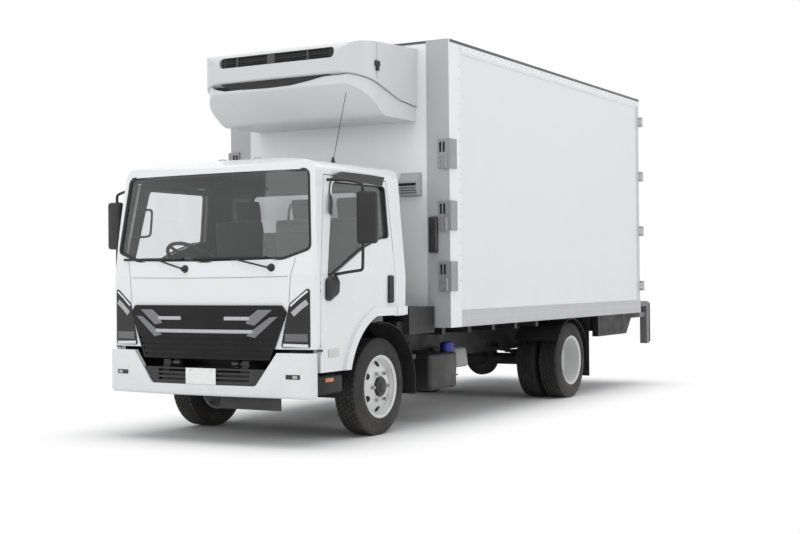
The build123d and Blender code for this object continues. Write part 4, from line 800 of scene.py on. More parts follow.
SCREEN_RADII = [0.045, 0.2, 0.9, 0.2, 0.045, 0.06, 0.06]
seal("windscreen_seal", SCREEN, SCREEN_RADII, lambda line: on_front(front_skin, line), "cab", 0.016, 0.008)
BACK_WINDOW = [(-0.56, 1.70), (0.56, 1.70), (0.56, 2.06), (-0.56, 2.06)]
seal("back_window_seal", BACK_WINDOW, [0.06] * 4, lambda line: on_back(front_skin, line), "cab", 0.016, 0.01)
SIDE = [(0.905, 1.29), (0.33, 1.548), (0.06, 1.625), (-0.075, 1.635), (-0.075, 2.065), (0.72, 2.065)]
SIDE = [(AXLE + x, z) for x, z in SIDE]
SIDE_RADII = [0.025, 0.3, 0.3, 0.04, 0.04, 0.06]
SIDES = (("left", 1), ("right", -1))
for name, side in SIDES:
    door_skin = skin("cab_door_" + name, "door_glass_" + name)
    body = "cab_door_" + name
    seal(
        "door_seal_" + name, SIDE, SIDE_RADII, lambda line: on_side(door_skin, line, side), body, 0.008, 0.003
    )

# Door furniture: a black pull handle, a smoked rain visor over the glass and a small lens low on the door.
# Each is moulded plastic, clipped to the painted panel.
smoked = finish("smoked_plastic", (0.014, 0.014, 0.015), (0.2, 0.35), dust=0.05, reach=2.0)
VISOR = [(-0.016, 0.0), (-0.016, 0.006), (0.050, 0.034), (0.054, 0.030), (0.0, 0.001)]
BROW = [(0.79, 1.80), (0.725, 2.02), (0.69, 2.078), (0.62, 2.090), (0.2, 2.090), (-0.03, 2.084)]
BROW = [(AXLE + x, z) for x, z in BROW]
pale_lens = finish("pale_lens", (0.60, 0.61, 0.62), (0.08, 0.2), reach=0.8, coat=0.8)


def unloaded(solid):
    """Corners and faces of a bmesh, which is then freed."""
    solid.verts.index_update()
    verts = [v.co.copy() for v in solid.verts]
    faces = [[v.index for v in f.verts] for f in solid.faces]
    solid.free()
    return verts, faces


def eased_block(low, high, ease, taper=(0.0, 0.0)):
    """Corners and faces of a box with eased edges; taper draws its top in along X and Y."""
    solid = bmesh.new()
    bmesh.ops.create_cube(solid, size=1.0)
    middle = [(a + b) / 2 for a, b in zip(low, high)]
    size = [b - a for a, b in zip(low, high)]
    for v in solid.verts:
        draw = [1 - t if v.co.z > 0 else 1 for t in taper] + [1]
        v.co = Vector([m + s * c * d for m, s, c, d in zip(middle, size, v.co, draw)])
    bmesh.ops.bevel(solid, geom=solid.edges, offset=ease, segments=3, profile=0.5, affect="EDGES")
    return unloaded(solid)


def ribbon(hits, section):
    """Corners and faces of a strip on a surface: section points are (sideways, outwards) from each hit."""
    verts, faces = [], []
    count, wide = len(hits), len(section)
    for i, (place, normal) in enumerate(hits):
        before, after = hits[max(i - 1, 0)][0], hits[min(i + 1, count - 1)][0]
        side = normal.cross((after - before).normalized())
        verts += [place + side * u + normal * v for u, v in section]
    for i in range(count - 1):
        for j in range(wide):
            a, b = i * wide, (i + 1) * wide
            faces.append([a + j, a + (j + 1) % wide, b + (j + 1) % wide, b + j])
    faces += [list(range(wide))[::-1], [(count - 1) * wide + j for j in range(wide)]]
    return verts, faces


def spaced(points, gap):
    """Points along straight runs, no further apart than gap."""
    path = [Vector(points[0])]
    for a, b in zip(points, points[1:]):
        a, b = Vector(a), Vector(b)
        steps = max(1, math.ceil((b - a).length / gap))
        path += [a.lerp(b, (i + 1) / steps) for i in range(steps)]
    return path


for name, side in SIDES:
    door_skin = skin("cab_door_" + name)
    body = "cab_door_" + name
    flush = on_side(door_skin, [(AXLE - 0.052, 1.21)], side)[0][0].y
    inner, outer = sorted((flush - side * 0.012, flush + side * 0.022))
    grip = eased_block((AXLE - 0.092, inner, 1.095), (AXLE - 0.012, outer, 1.325), 0.014)
    piece("door_handle_" + name, *grip, moulded_black, body, "dark_plastic", smooth=True)
    shade = [(side * u, v) for u, v in VISOR]
    visor_skin = skin("cab_door_" + name, "cab_shell", "door_glass_" + name)
    visor = ribbon(on_side(visor_skin, spaced(BROW, 0.06), side), shade)
    piece("rain_visor_" + name, *visor, smoked, body, "dark_plastic", smooth=True)
    low_marker = on_side(door_skin, [(AXLE + 0.81, 0.725)], side)[0][0].y
    inner, outer = sorted((low_marker - side * 0.004, low_marker + side * 0.010))
    lens_block = eased_block((AXLE + 0.735, inner, 0.695), (AXLE + 0.885, outer, 0.757), 0.005)
    piece("side_repeater_" + name, *lens_block, pale_lens, body, "lamp_clear", smooth=True)

# Front panel: pressed lines and shut lines of the white front, wipers, roof lamps and a whip aerial.
# Lines are shallow grooves, drawn as thin strips that lie on the paint; the dark strip on the pressed line
# across the front is painted shade in its crease.
joint_and_crease_shade = finish("joint_and_crease_shade", (0.16, 0.16, 0.165), (0.5, 0.7), reach=2.0)
GROOVE = [(-0.0022, -0.002), (-0.0022, 0.0007), (0.0022, 0.0007), (0.0022, -0.002)]
shell_skin = skin("cab_shell")
# The first run is the pressed line, whose dark strip is painted shade; the other runs are shut lines.
runs = [[(-0.775, 1.322), (-0.30, 1.316), (0.30, 1.316), (0.775, 1.322)]]
for side in (-1, 1):
    runs.append([(side * 0.835, 1.462), (side * 0.800, 1.330), (side * 0.785, 1.118)])
lines = [ribbon(on_front(shell_skin, spaced(run, 0.08)), GROOVE) for run in runs]
piece("front_joints_and_crease_shade", *gathered(lines), joint_and_crease_shade, "cab", "gray_trim")
CAP_TURN = [
    (0.0, 0.044), (0.013, 0.044), (0.019, 0.034), (0.024, 0.010), (0.032, 0.004), (0.032, -0.010),
    (0.0, -0.010),
]
BLADE = [(-0.006, 0.002), (-0.010, 0.012), (-0.004, 0.020), (0.004, 0.020), (0.010, 0.012), (0.006, 0.002)]


def pipe(points, radius, sides=10):
    """Corners and faces of a round tube on a smooth line that runs near its points."""
    line = bpy.data.curves.new("pipe_line", "CURVE")
    line.dimensions = "3D"
    line.resolution_u = 8
    spline = line.splines.new("NURBS")
    spline.points.add(len(points) - 1)
    for target, point in zip(spline.points, points):
        target.co = (*point, 1)
    spline.order_u = 3
    spline.use_endpoint_u = True
    line.bevel_depth = radius
    line.bevel_resolution = max(1, sides // 4)
    line.use_fill_caps = True
    holder = bpy.data.objects.new("pipe_line", line)
    scene.collection.objects.link(holder)
    shape = evaluated(holder)
    bpy.data.objects.remove(holder)
    bpy.data.curves.remove(line)
    return shape


BLADE_UP, ARM_OUT = 1.470, Vector((0.032, 0, 0))
wiper_parts = []
# Columns: spindle's place across and height, arm's end, and the blade's two ends
for y, z, tip, near, far in (
    (-0.195, 1.389, (-0.52, 1.474), -0.88, -0.24), (0.628, 1.391, (0.26, 1.470), -0.12, 0.58)
):
    place, end = [hit for hit, _ in on_front(front_skin, [(y, z), tip])]
    wiper_parts.append(lathe(CAP_TURN, place, 24, "X"))
    bends = [place.lerp(end, share) + ARM_OUT for share in (0.0, 0.2, 0.8)] + [end + Vector((0.018, 0, 0))]
    wiper_parts.append(pipe(bends, 0.007, 8))
    run = spaced([(near, BLADE_UP), (far, BLADE_UP)], 0.06)
    wiper_parts.append(ribbon(on_front(front_skin, run), BLADE))
wipers = piece("wiper_arms", *gathered(wiper_parts), moulded_black, "cab", "dark_plastic", smooth=True)
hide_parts("wipers")

roof_lens = finish("roof_lens", (0.42, 0.40, 0.38), (0.1, 0.25), reach=3.0, coat=0.6)
roof_lamps = []
for y in (-0.885, -0.207, 0.153):
    top = landed(shell_skin, [(AXLE + 0.60, y, 2.6)], (0, 0, -1))[0][0].z
    low, high = (AXLE + 0.555, y - 0.036, top - 0.006), (AXLE + 0.645, y + 0.036, top + 0.030)
    roof_lamps.append(eased_block(low, high, 0.012, (0.35, 0.3)))
piece("roof_lamps", *gathered(roof_lamps), roof_lens, "cab", "lamp_clear", smooth=True)
base = landed(shell_skin, [(AXLE + 0.545, 0.85, 2.6)], (0, 0, -1))[0][0]
WHIP = [(0, 0, 0.01), (-0.09, 0, 0.26), (-0.204, 0, 0.585)]
WHIP_FOOT = [(0.0, 0.045), (0.007, 0.045), (0.016, 0.012), (0.020, 0.0), (0.020, -0.006), (0.0, -0.006)]
whip = pipe([base + Vector(bend) for bend in WHIP], 0.0028, 8)
foot = lathe(WHIP_FOOT, base, 20, "Z")
piece("whip_aerial", *gathered([whip, foot]), moulded_black, "cab", "dark_plastic", smooth=True)

# Headlamps: clear covers over dark housings, with a slanted light bar, two reflectors and a bright strip.
# The cover is the CAD solid, and what is behind it is laid on its face.
lamp_cover = finish("lamp_cover", (0.012, 0.012, 0.013), (0.06, 0.14), dust=0.06, coat=0.2)
lamp_cover.node_tree.nodes["Principled BSDF"].inputs["Specular IOR Level"].default_value = 0.35
light_bar = finish("light_bar", (0.86, 0.87, 0.88), (0.08, 0.2), dust=0.04, coat=0.8)
soft_reflector = finish("soft_reflector", (0.42, 0.42, 0.43), (0.12, 0.3), dust=0.05, metal=0.6, coat=0.6)
lamp_shade = finish("lamp_shade", (0.13, 0.13, 0.135), (0.15, 0.3), dust=0.05, metal=0.5, coat=0.6)
bright_trim = finish("bright_trim", (0.72, 0.73, 0.74), (0.08, 0.2), dust=0.12, reach=0.9, metal=0.9)
dress(lamp_cover, "headlamps")
lamp_skin = skin("headlamps")
for name, side in SIDES:
    # Columns: piece's name, its line across the lamp, its width and its material
    for part, line, wide, material in (
        ("light_bar", ((0.800, 1.094), (0.880, 1.160), (0.948, 1.209)), 0.013, light_bar),
        ("reflector", ((0.818, 1.030), (0.880, 1.082), (0.944, 1.128)), 0.042, soft_reflector),
        ("lower_reflector", ((0.752, 0.852), (0.85, 0.852), (0.945, 0.852)), 0.058, lamp_shade),
        ("lower_strip", ((0.735, 0.794), (0.85, 0.791), (0.950, 0.789)), 0.024, bright_trim),
    ):
        points = [(side * y, z) for y, z in line]
        strip = [(-wide / 2, -0.004), (-wide / 2, 0.0012), (wide / 2, 0.0012), (wide / 2, -0.004)]
        laid = ribbon(on_front(lamp_skin, spaced(points, 0.03)), strip)
        piece(f"{part}_{name}", *laid, material, "cab", "lamp_clear", smooth=True)

# Grille: a moulded black panel with two silver bands between broad gray wings, the upper band open midway.
# Thin ribs cross its lower half between the moulded slots.
grille_black = finish("grille_black", (0.008, 0.008, 0.009), (0.3, 0.5), grain=(600.0, 0.08))
bar_silver = finish("bar_silver", (0.50, 0.50, 0.51), (0.25, 0.4), dust=0.08, metal=0.2)
grille_black.node_tree.nodes["Principled BSDF"].inputs["Specular IOR Level"].default_value = 0.25
dress(grille_black, "grille_panel")
wing_grey = finish("wing_grey", (0.20, 0.20, 0.205), (0.3, 0.45), dust=0.08, metal=0.2)
panel_skin = skin("grille_panel")
BAND = [(-0.014, -0.004), (-0.014, 0.010), (-0.009, 0.014), (0.009, 0.014), (0.014, 0.010), (0.014, -0.004)]
bands = []
# Columns: height of a silver band and its run across
for z, start, stop in ((0.997, -0.452, -0.217), (0.997, 0.217, 0.452), (0.895, -0.480, 0.480)):
    bands.append(ribbon(on_front(panel_skin, spaced([(start, z), (stop, z)], 0.06)), BAND))
bars = piece("grille_bands", *gathered(bands), bar_silver, "cab", "gray_trim", smooth=True)
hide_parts("grille_bars")


def stacked(*loops):
    """Corners and faces of a form through loops with as many points each, closed at both ends."""
    count = len(loops[0])
    verts = [v for loop in loops for v in loop]
    faces = []
    for row in range(len(loops) - 1):
        for i in range(count):
            a, b = row * count + i, row * count + (i + 1) % count
            faces.append([a, b, b + count, a + count])
    faces += [list(range(count)), list(range(len(verts) - count, len(verts)))]
    return verts, faces


wings = []
UPPER_WING = [(0.655, 1.065), (0.525, 1.065), (0.447, 1.012), (0.415, 0.958), (0.495, 0.943)]
LOWER_WING = [(0.705, 1.013), (0.632, 1.008), (0.478, 0.908), (0.420, 0.864), (0.500, 0.848)]
for side in (-1, 1):
    for edge in (UPPER_WING, LOWER_WING):
        rim = on_front(panel_skin, [(side * y, z) for y, z in edge])
        middle = sum((place for place, _ in rim), Vector()) / len(rim)
        base = [place - normal * 0.004 for place, normal in rim]
        brim = [place + normal * 0.008 for place, normal in rim]
        crest = [place.lerp(middle, 0.12) + normal * 0.013 for place, normal in rim]
        wings.append(stacked(base, brim, crest))
piece("grille_wings", *gathered(wings), wing_grey, "cab", "gray_trim")
ribs = []
RIB = [(-0.0025, -0.003), (-0.0025, 0.004), (0.0025, 0.004), (0.0025, -0.003)]
for row in range(5):
    z = 0.688 + 0.042 * row
    half = 0.585 + 0.014 * row
    ribs.append(ribbon(on_front(panel_skin, spaced([(-half, z), (half, z)], 0.12)), RIB))
piece("grille_ribs", *gathered(ribs), grille_black, "cab", "dark_plastic", smooth=True)

# Bumper: a white moulding round a dark insert, with slot fog lamps, a blank number plate and a lower flap.
# The plate is thin painted metal on two screws, and a ribbed shield closes the space behind the insert.
insert_black = finish(
    "insert_black", (0.022, 0.022, 0.023), (0.4, 0.6), dust=0.2, reach=0.7, grain=(600.0, 0.1)
)
bumper_white = finish(
    "bumper_white", (0.77, 0.78, 0.79), (0.18, 0.3), dust=0.18, reach=0.7, grain=(90.0, 0.006), coat=0.5
)
plate_white = finish("plate_white", (0.84, 0.84, 0.83), (0.25, 0.4), reach=0.7, grain=(200.0, 0.01))
dress(insert_black, "bumper_insert")
moulding = bmesh.new()
moulding.from_mesh(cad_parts["front_bumper"].data)
bmesh.ops.remove_doubles(moulding, verts=moulding.verts, dist=1e-5)
bmesh.ops.dissolve_limit(moulding, angle_limit=math.radians(1.5), verts=moulding.verts, edges=moulding.edges)
bottom = min(v.co.z for v in moulding.verts)
lower_edge = []
for edge in moulding.edges:
    if max(v.co.z for v in edge.verts) < bottom + 0.002 and len(edge.link_faces) == 2:
        up = [abs(f.normal.z) for f in edge.link_faces]
        wall = edge.link_faces[up.index(min(up))]
        away = (edge.verts[0].co + edge.verts[1].co) / 2 - Vector((AXLE + 0.5, 0, bottom))
        if max(up) > 0.9 and min(up) < 0.3 and wall.normal.dot(away) > 0:
            lower_edge.append(edge)
bmesh.ops.bevel(moulding, geom=lower_edge, offset=0.030, segments=4, profile=0.5, affect="EDGES")
bmesh.ops.triangulate(moulding, faces=moulding.faces)
bumper = piece("bumper_moulding", *unloaded(moulding), bumper_white, "chassis", "white_paint", smooth=True)
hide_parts("front_bumper")
face = AXLE + 1.166
plate = eased_block((face - 0.001, -0.160, 0.476), (face + 0.003, 0.138, 0.604), 0.001)
piece("number_plate", *plate, plate_white, "chassis", "white_paint")
back = eased_block((face - 0.014, -0.130, 0.488), (face - 0.0005, 0.108, 0.594), 0.004)
piece("plate_holder", *back, insert_black, "chassis", "dark_plastic", smooth=True)
screws = [(face + 0.0035, y, 0.588) for y in (-0.110, 0.088)]
fastener_row("plate_screws", [("+X", screws)], 6, 0.006, 0.005, 0.003, zinc_nut, "chassis", "zinc_steel")
bumper_skin = skin("front_bumper")
fog_clear = finish("fog_clear", (0.42, 0.43, 0.44), (0.05, 0.15), dust=0.15, reach=0.8, coat=1.0)
blanks, pockets, fog_lamps = [], [], []
PATCH = [
    (-0.062, -0.006), (-0.062, 0.0008), (-0.058, 0.0012), (0.058, 0.0012), (0.062, 0.0008), (0.062, -0.006)
]
for side in (-1, 1):
    across = [side * (0.785 + 0.02 * i) for i in range(7)]
    low, high = [on_front(bumper_skin, [(y, z) for y in across]) for z in (0.512, 0.636)]
    middle = [(a[0].lerp(b[0], 0.5), (a[1] + b[1]).normalized()) for a, b in zip(low, high)]
    line = [(a[0].lerp(b[0], 0.335), (a[1] + b[1]).normalized()) for a, b in zip(low, high)]
    blanks.append(ribbon(middle, PATCH))
    for half, proud, hits, parts in ((0.018, 0.004, line, pockets), (0.012, 0.008, line[3:6], fog_lamps)):
        strip = [
            (-half, -0.006), (-half, proud * 0.4), (-half * 0.7, proud), (half * 0.7, proud),
            (half, proud * 0.4), (half, -0.006),
        ]
        parts.append(ribbon(hits, strip))
piece("fog_blanks", *gathered(blanks), bumper_white, "chassis", "white_paint", smooth=True)
piece("fog_pockets", *gathered(pockets), insert_black, "chassis", "dark_plastic", smooth=True)
piece("fog_lenses", *gathered(fog_lamps), fog_clear, "chassis", "lamp_clear", smooth=True)
shield = [eased_block((AXLE + 0.900, -0.69, 0.470), (AXLE + 0.914, 0.69, 0.745), 0.004)]
for y in (-0.70, 0.69):
    shield.append(eased_block((AXLE + 0.900, y, 0.470), (AXLE + 1.050, y + 0.010, 0.745), 0.003))
for row in range(5):
    z = 0.50 + 0.048 * row
    shield.append(eased_block((AXLE + 0.912, -0.62, z), (AXLE + 0.922, 0.62, z + 0.016), 0.003))
piece("air_guide", *gathered(shield), grille_black, "chassis", "dark_plastic", smooth=True)
flap = eased_block((AXLE + 1.072, 0.12, 0.285), (AXLE + 1.086, 0.70, 0.505), 0.004)
piece("bumper_flap", *flap, moulded_black, "chassis", "dark_plastic")

# Cab steps: black moulded boxes below the doors, on an arm from the frame, each with an amber side lamp.
# Grip bars are moulded into the tread.
amber = finish("amber_lens", (0.55, 0.16, 0.03), (0.1, 0.25), dust=0.2, reach=0.7, coat=0.8)


def sided_block(side, low, high, ease):
    """An eased block given for the left side, or its twin on the right."""
    y = sorted((side * low[1], side * high[1]))
    return eased_block((low[0], y[0], low[2]), (high[0], y[1], high[2]), ease)


for name, side in SIDES:
    parts = []
    for low, high, ease in (
        ((0.64, 0.70, 0.405), (1.015, 0.985, 0.55), 0.02),
        ((0.78, 0.40, 0.52), (0.86, 0.74, 0.545), 0.006),
    ):
        parts.append(sided_block(side, (AXLE + low[0], *low[1:]), (AXLE + high[0], *high[1:]), ease))
    for row in range(6):
        x = AXLE + 0.69 + 0.055 * row
        parts.append(sided_block(side, (x, 0.74, 0.545), (x + 0.02, 0.95, 0.556), 0.003))
    piece("cab_step_" + name, *gathered(parts), grille_black, "chassis", "dark_plastic", smooth=True)
    lamp = sided_block(side, (AXLE + 0.79, 0.982, 0.502), (AXLE + 0.905, 0.998, 0.533), 0.006)
    piece("side_lamp_" + name, *lamp, amber, "chassis", "lamp_red", smooth=True)

# Mirrors: black moulded heads on bent steel tubes from a foot low on the door to its top corner.
# Each head is turned a little to its own side, with silvered glass let into its back.
silvered = finish(
    "silvered_glass", (0.78, 0.8, 0.8), (0.01, 0.05), dust=0.03, reach=3.0, grain=(60.0, 0.002), metal=1.0
)
MIRROR_PLACE = (AXLE + 0.725, 1.275, 1.774)
HEAD_HALF = (0.034, 0.083, 0.204)
MIRROR_TURN = math.radians(12)
ARM = [
    (0.80, 0.98, 1.325), (0.79, 1.08, 1.345), (0.755, 1.205, 1.362), (0.748, 1.238, 1.366),
    (0.746, 1.245, 1.40), (0.742, 1.245, 1.70), (0.742, 1.245, 1.98), (0.744, 1.245, 2.020),
    (0.752, 1.225, 2.045), (0.785, 1.08, 2.070), (0.80, 0.93, 2.075),
]
FOOT_EDGE = [
    (0.935, 1.296), (0.875, 1.322), (0.79, 1.322), (0.755, 1.285), (0.762, 1.185), (0.885, 1.128),
    (0.935, 1.142),
]
for name, side in SIDES:
    body = "cab_door_" + name
    door_skin = skin(body, "door_glass_" + name)
    middle = Vector((MIRROR_PLACE[0], side * MIRROR_PLACE[1], MIRROR_PLACE[2]))
    turn = Matrix.Rotation(side * MIRROR_TURN, 3, "Z")
    parts = []
    verts, faces = eased_block([-h for h in HEAD_HALF], HEAD_HALF, 0.026)
    parts.append(([turn @ v + middle for v in verts], faces))
    parts.append(pipe([(AXLE + x, side * y, z) for x, y, z in ARM], 0.012, 12))
    edge = rounded([(AXLE + x, z) for x, z in FOOT_EDGE], [0.03] * len(FOOT_EDGE), 4)
    centre = sum(edge, Vector((0, 0))) / len(edge)
    rim = on_side(door_skin, edge, side)
    base = [place - normal * 0.006 for place, normal in rim]
    brim = [place + normal * 0.018 for place, normal in rim]
    crest = []
    for place, normal in rim:
        draw = (Vector((centre.x, place.y, centre.y)) - place) * 0.22
        crest.append(place + draw + normal * 0.034)
    parts.append(stacked(base, brim, crest))
    mirror = piece("mirror_arm_" + name, *gathered(parts), moulded_black, body, "dark_plastic", smooth=True)
    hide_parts("mirror_" + name)
    verts, faces = eased_block(
        (-HEAD_HALF[0] - 0.003, -0.070, -0.188), (-HEAD_HALF[0] + 0.004, 0.070, 0.188), 0.003
    )
    verts = [turn @ v + middle for v in verts]
    piece("mirror_glass_" + name, verts, faces, silvered, body, "window_glass", smooth=True)

# Seats: foam pads in dark woven cloth, one for the driver and two for passengers.
# Each pad is a crowned form with sewn channels, swollen between its seams.
seat_cloth = finish(
    "seat_cloth", (0.028, 0.028, 0.03), (0.75, 0.92), dust=0.05, reach=3.0, grain=(900.0, 0.5)
)
seat_cloth.node_tree.nodes["Principled BSDF"].inputs["Sheen Weight"].default_value = 0.25


def pad(name, low, high, channels, lean=0.0, crown=0.028):
    """A sewn pad between two corners: crowned, drawn in at its sides, with channels along its length."""
    solid = bmesh.new()
    bmesh.ops.create_cube(solid, size=2.0)
    bmesh.ops.subdivide_edges(solid, edges=solid.edges, cuts=15, use_grid_fill=True)
    middle = Vector([(a + b) / 2 for a, b in zip(low, high)])
    half = Vector([(b - a) / 2 for a, b in zip(low, high)])
    for v in solid.verts:
        c = v.co.copy()
        long = abs(c.x) ** 6
        pull_x, pull_y = [1 - 0.10 * abs(t * c.z) ** 3 for t in (c.y, c.x)]
        pull_z = 1 - 0.16 * abs(c.x * c.y) ** 3
        swell = crown * (1 - c.x**2) * (1 - c.y**2) * (1 if abs(c.z) > 0.5 else 0) * math.copysign(1, c.z)
        groove = sum(0.010 * math.exp(-(((c.y - g) / 0.05) ** 2)) for g in channels)
        groove *= (1 if c.z > 0.9 else 0) * (1 - long)
        up = c.z * (half.z - crown) * pull_z + swell - groove
        v.co = Vector((c.x * half.x * pull_x, c.y * half.y * pull_y, up))
    for _ in range(2):
        bmesh.ops.smooth_vert(
            solid, verts=solid.verts, factor=0.5, use_axis_x=True, use_axis_y=True, use_axis_z=True
        )
    turn = Matrix.Rotation(lean, 3, "Y")
    verts, faces = unloaded(solid)
    verts = [turn @ v + middle for v in verts]
    thing = piece(name, verts, faces, seat_cloth, "cab", "seat_cloth", smooth=True)
    return thing


DECK, LEAN, CHANNELS = 1.055, math.radians(-101.0), (-0.55, 0.55)
# Columns: seat's name, its place across the cab and its width
for name, y, wide in (("driver", -0.48, 0.52), ("middle", 0.13, 0.43), ("outer", 0.59, 0.43)):
    half = wide / 2
    low, high = (AXLE - 0.08, y - half, DECK), (AXLE + 0.42, y + half, DECK + 0.17)
    pad("seat_cushion_" + name, low, high, CHANNELS)
    place = Vector((AXLE - 0.03, y, DECK + 0.455))
    low, high = place - Vector((0.305, half - 0.01, 0.052)), place + Vector((0.305, half - 0.01, 0.052))
    pad("seat_back_" + name, low, high, CHANNELS, math.pi - LEAN, 0.018)
    place = Vector((AXLE - 0.12, y, DECK + 0.845))
    low, high = place - Vector((0.09, 0.125, 0.032)), place + Vector((0.09, 0.125, 0.032))
    pad("headrest_" + name, low, high, (), math.pi - LEAN, 0.012)
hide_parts("seats")

# Dashboard and steering wheel: grained plastic, an instrument hood, gear lever, handles and a bound rim.
# The wheel leans with its column and turns on the cab's shaft.
dash_black = finish(
    "dash_black", (0.022, 0.022, 0.023), (0.5, 0.7), dust=0.05, reach=3.0, grain=(500.0, 0.25)
)
bound_leather = finish(
    "bound_leather", (0.015, 0.015, 0.016), (0.45, 0.65), dust=0.03, reach=3.0, grain=(400.0, 0.3)
)
dress(dash_black, "dashboard")
hood = eased_block((AXLE + 0.87, -0.66, 1.37), (AXLE + 1.02, -0.24, 1.462), 0.03, (0.3, 0.1))
radio = eased_block((AXLE + 0.79, 0.02, 1.18), (AXLE + 0.86, 0.30, 1.37), 0.015)
piece("instrument_hood", *gathered([hood, radio]), dash_black, "cab", "dark_plastic", smooth=True)
lever = pipe([(AXLE + 0.83, -0.10, 1.16), (AXLE + 0.76, -0.10, 1.22), (AXLE + 0.72, -0.10, 1.30)], 0.009, 10)
KNOB = [(0.0, 0.03), (0.016, 0.026), (0.024, 0.008), (0.022, -0.012), (0.012, -0.03), (0.0, -0.032)]
knob = lathe(KNOB, (AXLE + 0.72, -0.10, 1.312), 24, "Z")
piece("gear_lever", *gathered([lever, knob]), bound_leather, "cab", "dark_plastic", smooth=True)
HANDLE_LINE = [
    (0.88, -0.90, 1.885), (0.91, -0.76, 1.89), (0.925, -0.70, 1.885), (0.935, -0.69, 1.84),
    (0.95, -0.69, 1.71), (0.95, -0.70, 1.668), (0.94, -0.76, 1.662), (0.92, -0.92, 1.662),
]
handles = [pipe([(AXLE + x, side * y, z) for x, y, z in HANDLE_LINE], 0.010, 10) for side in (-1, 1)]
piece("grab_handles", *gathered(handles), dash_black, "cab", "dark_plastic", smooth=True)
lean = Matrix.Rotation(math.radians(-37), 4, "Y")
column = Matrix.Translation((AXLE + 0.73, -0.45, 1.48)) @ lean
RIM, GRIP = 0.205, 0.0155
ring = [(RIM + GRIP * math.cos(a), GRIP * math.sin(a)) for a in [math.radians(d) for d in range(0, 361, 30)]]
boss = [
    (0.0, 0.008), (0.034, 0.006), (0.050, -0.004), (0.052, -0.020), (0.044, -0.042), (0.012, -0.044),
    (0.012, -0.125), (0.0, -0.125),
]
wheel_parts = [lathe(ring, (0, 0, 0), 72, "Z"), lathe(boss, (0, 0, 0), 40, "Z")]
for degrees in (90, 210, 330):
    turn = Matrix.Rotation(math.radians(degrees), 4, "Z")
    verts, faces = eased_block((0.030, -0.016, -0.016), (0.205, 0.016, -0.002), 0.005)
    wheel_parts.append(([turn @ v for v in verts], faces))
verts, faces = gathered(wheel_parts)
leaned = [column @ v for v in verts], faces
wheel = piece("steering_wheel_bound", *leaned, bound_leather, "steering_wheel", "dark_plastic", smooth=True)
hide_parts("steering_wheel")

# Insulated box: flat glass-fibre faced panels, white gel coat outside, in aluminium rails held by rivets.
# The front corner posts are bare gray metal in front and painted white along the side.
panel_white = finish(
    "panel_white", (0.80, 0.805, 0.81), (0.30, 0.46), reach=1.6, grain=(24.0, 0.004), coat=0.15
)
# The front wall and rear doors take a lighter white than the side walls: painted light, lifting the shade
# that the unit and cab cast on the front wall.
front_white_painted_light = finish(
    "front_white_painted_light", (0.86, 0.865, 0.87), (0.30, 0.46), dust=0.08, reach=1.6, grain=(24.0, 0.004), coat=0.15
)
edge_metal = finish("edge_metal", (0.87, 0.87, 0.875), (0.35, 0.5), dust=0.16, reach=1.4, grain=(60.0, 0.02))
roof_white = finish("roof_white", (0.60, 0.605, 0.61), (0.35, 0.5), dust=0.12, reach=3.4, grain=(24.0, 0.004))
dress(panel_white, "box_wall_left", "box_wall_right")
dress(roof_white, "box_roof")
dress(front_white_painted_light, "box_front_wall", "rear_door_left", "rear_door_right")
floor_metal = finish(
    "floor_metal", (0.36, 0.36, 0.36), (0.4, 0.6), dust=0.3, reach=1.2, grain=(80.0, 0.08), metal=0.5
)
dress(floor_metal, "box_floor")
dress(edge_metal, "box_edge_trim")
toned(edge_metal, (0.47, 0.47, 0.475), "Normal", (("X", 0.6, 0.8),))
toned(edge_metal, (0.56, 0.56, 0.565), "Object", (("Z", 1.02, 1.01), ("X", AXLE - 1.02, AXLE - 1.03)))
portal_metal = finish(
    "portal_metal", (0.60, 0.60, 0.605), (0.3, 0.48), dust=0.18, reach=1.4, grain=(60.0, 0.02), metal=0.2
)
dress(portal_metal, "box_rear_frame")

BOX_BACK, BOX_NOSE = AXLE - 5.671, AXLE - 0.818
RAIL_FACE = 1.188
edge_dark = finish("edge_dark", (0.10, 0.10, 0.105), (0.4, 0.6), reach=4.0, grain=(80.0, 0.02))
strips = []
for side in (-1, 1):
    low, high = (BOX_BACK, 1.160, 3.371), (BOX_NOSE - 0.01, RAIL_FACE + 0.0025, 3.3985)
    strips.append(sided_block(side, low, high, 0.004))
strips.append(eased_block((BOX_NOSE - 0.012, -1.16, 3.374), (BOX_NOSE + 0.003, 1.16, 3.3985), 0.004))
piece("roof_edge_strips", *gathered(strips), edge_dark, "chassis", "gray_trim", smooth=True)
ledges = []
for side in (-1, 1):
    for z in (3.320, 1.012, 0.880):
        low, high = (BOX_BACK, RAIL_FACE - 0.002, z - 0.005), (BOX_NOSE - 0.21, RAIL_FACE + 0.004, z + 0.005)
        ledges.append(sided_block(side, low, high, 0.0015))
piece("rail_ledges", *gathered(ledges), edge_metal, "chassis", "gray_trim", smooth=True)
rivet_grey = finish("rivet_grey", (0.48, 0.48, 0.48), (0.35, 0.5), dust=0.2, reach=1.4, metal=0.5)
RIVET_RUN, RIVET_PITCH = 4.57, 0.112
rows = []
for side, facing in ((1, "+Y"), (-1, "-Y")):
    points, proud = [], side * (RAIL_FACE + 0.0015)
    # Columns: height of a row and its count
    for z, count in ((0.915, 60), (0.972, 60), (3.345, 40)):
        points += [(BOX_BACK + 0.05 + i * RIVET_RUN / (count - 1), proud, z) for i in range(count)]
    points += [(BOX_NOSE - 0.185, proud, 1.05 + i * RIVET_PITCH) for i in range(20)]
    rows.append((facing, points))
front = []
for side in (-1, 1):
    front += [(BOX_NOSE + 0.0095, side * 0.978, 1.0 + i * RIVET_PITCH) for i in range(21)]
rows.append(("+X", front))
fastener_row("panel_rivets", rows, 8, 0.0055, 0.003, 0.003, rivet_grey, "chassis", "zinc_steel")

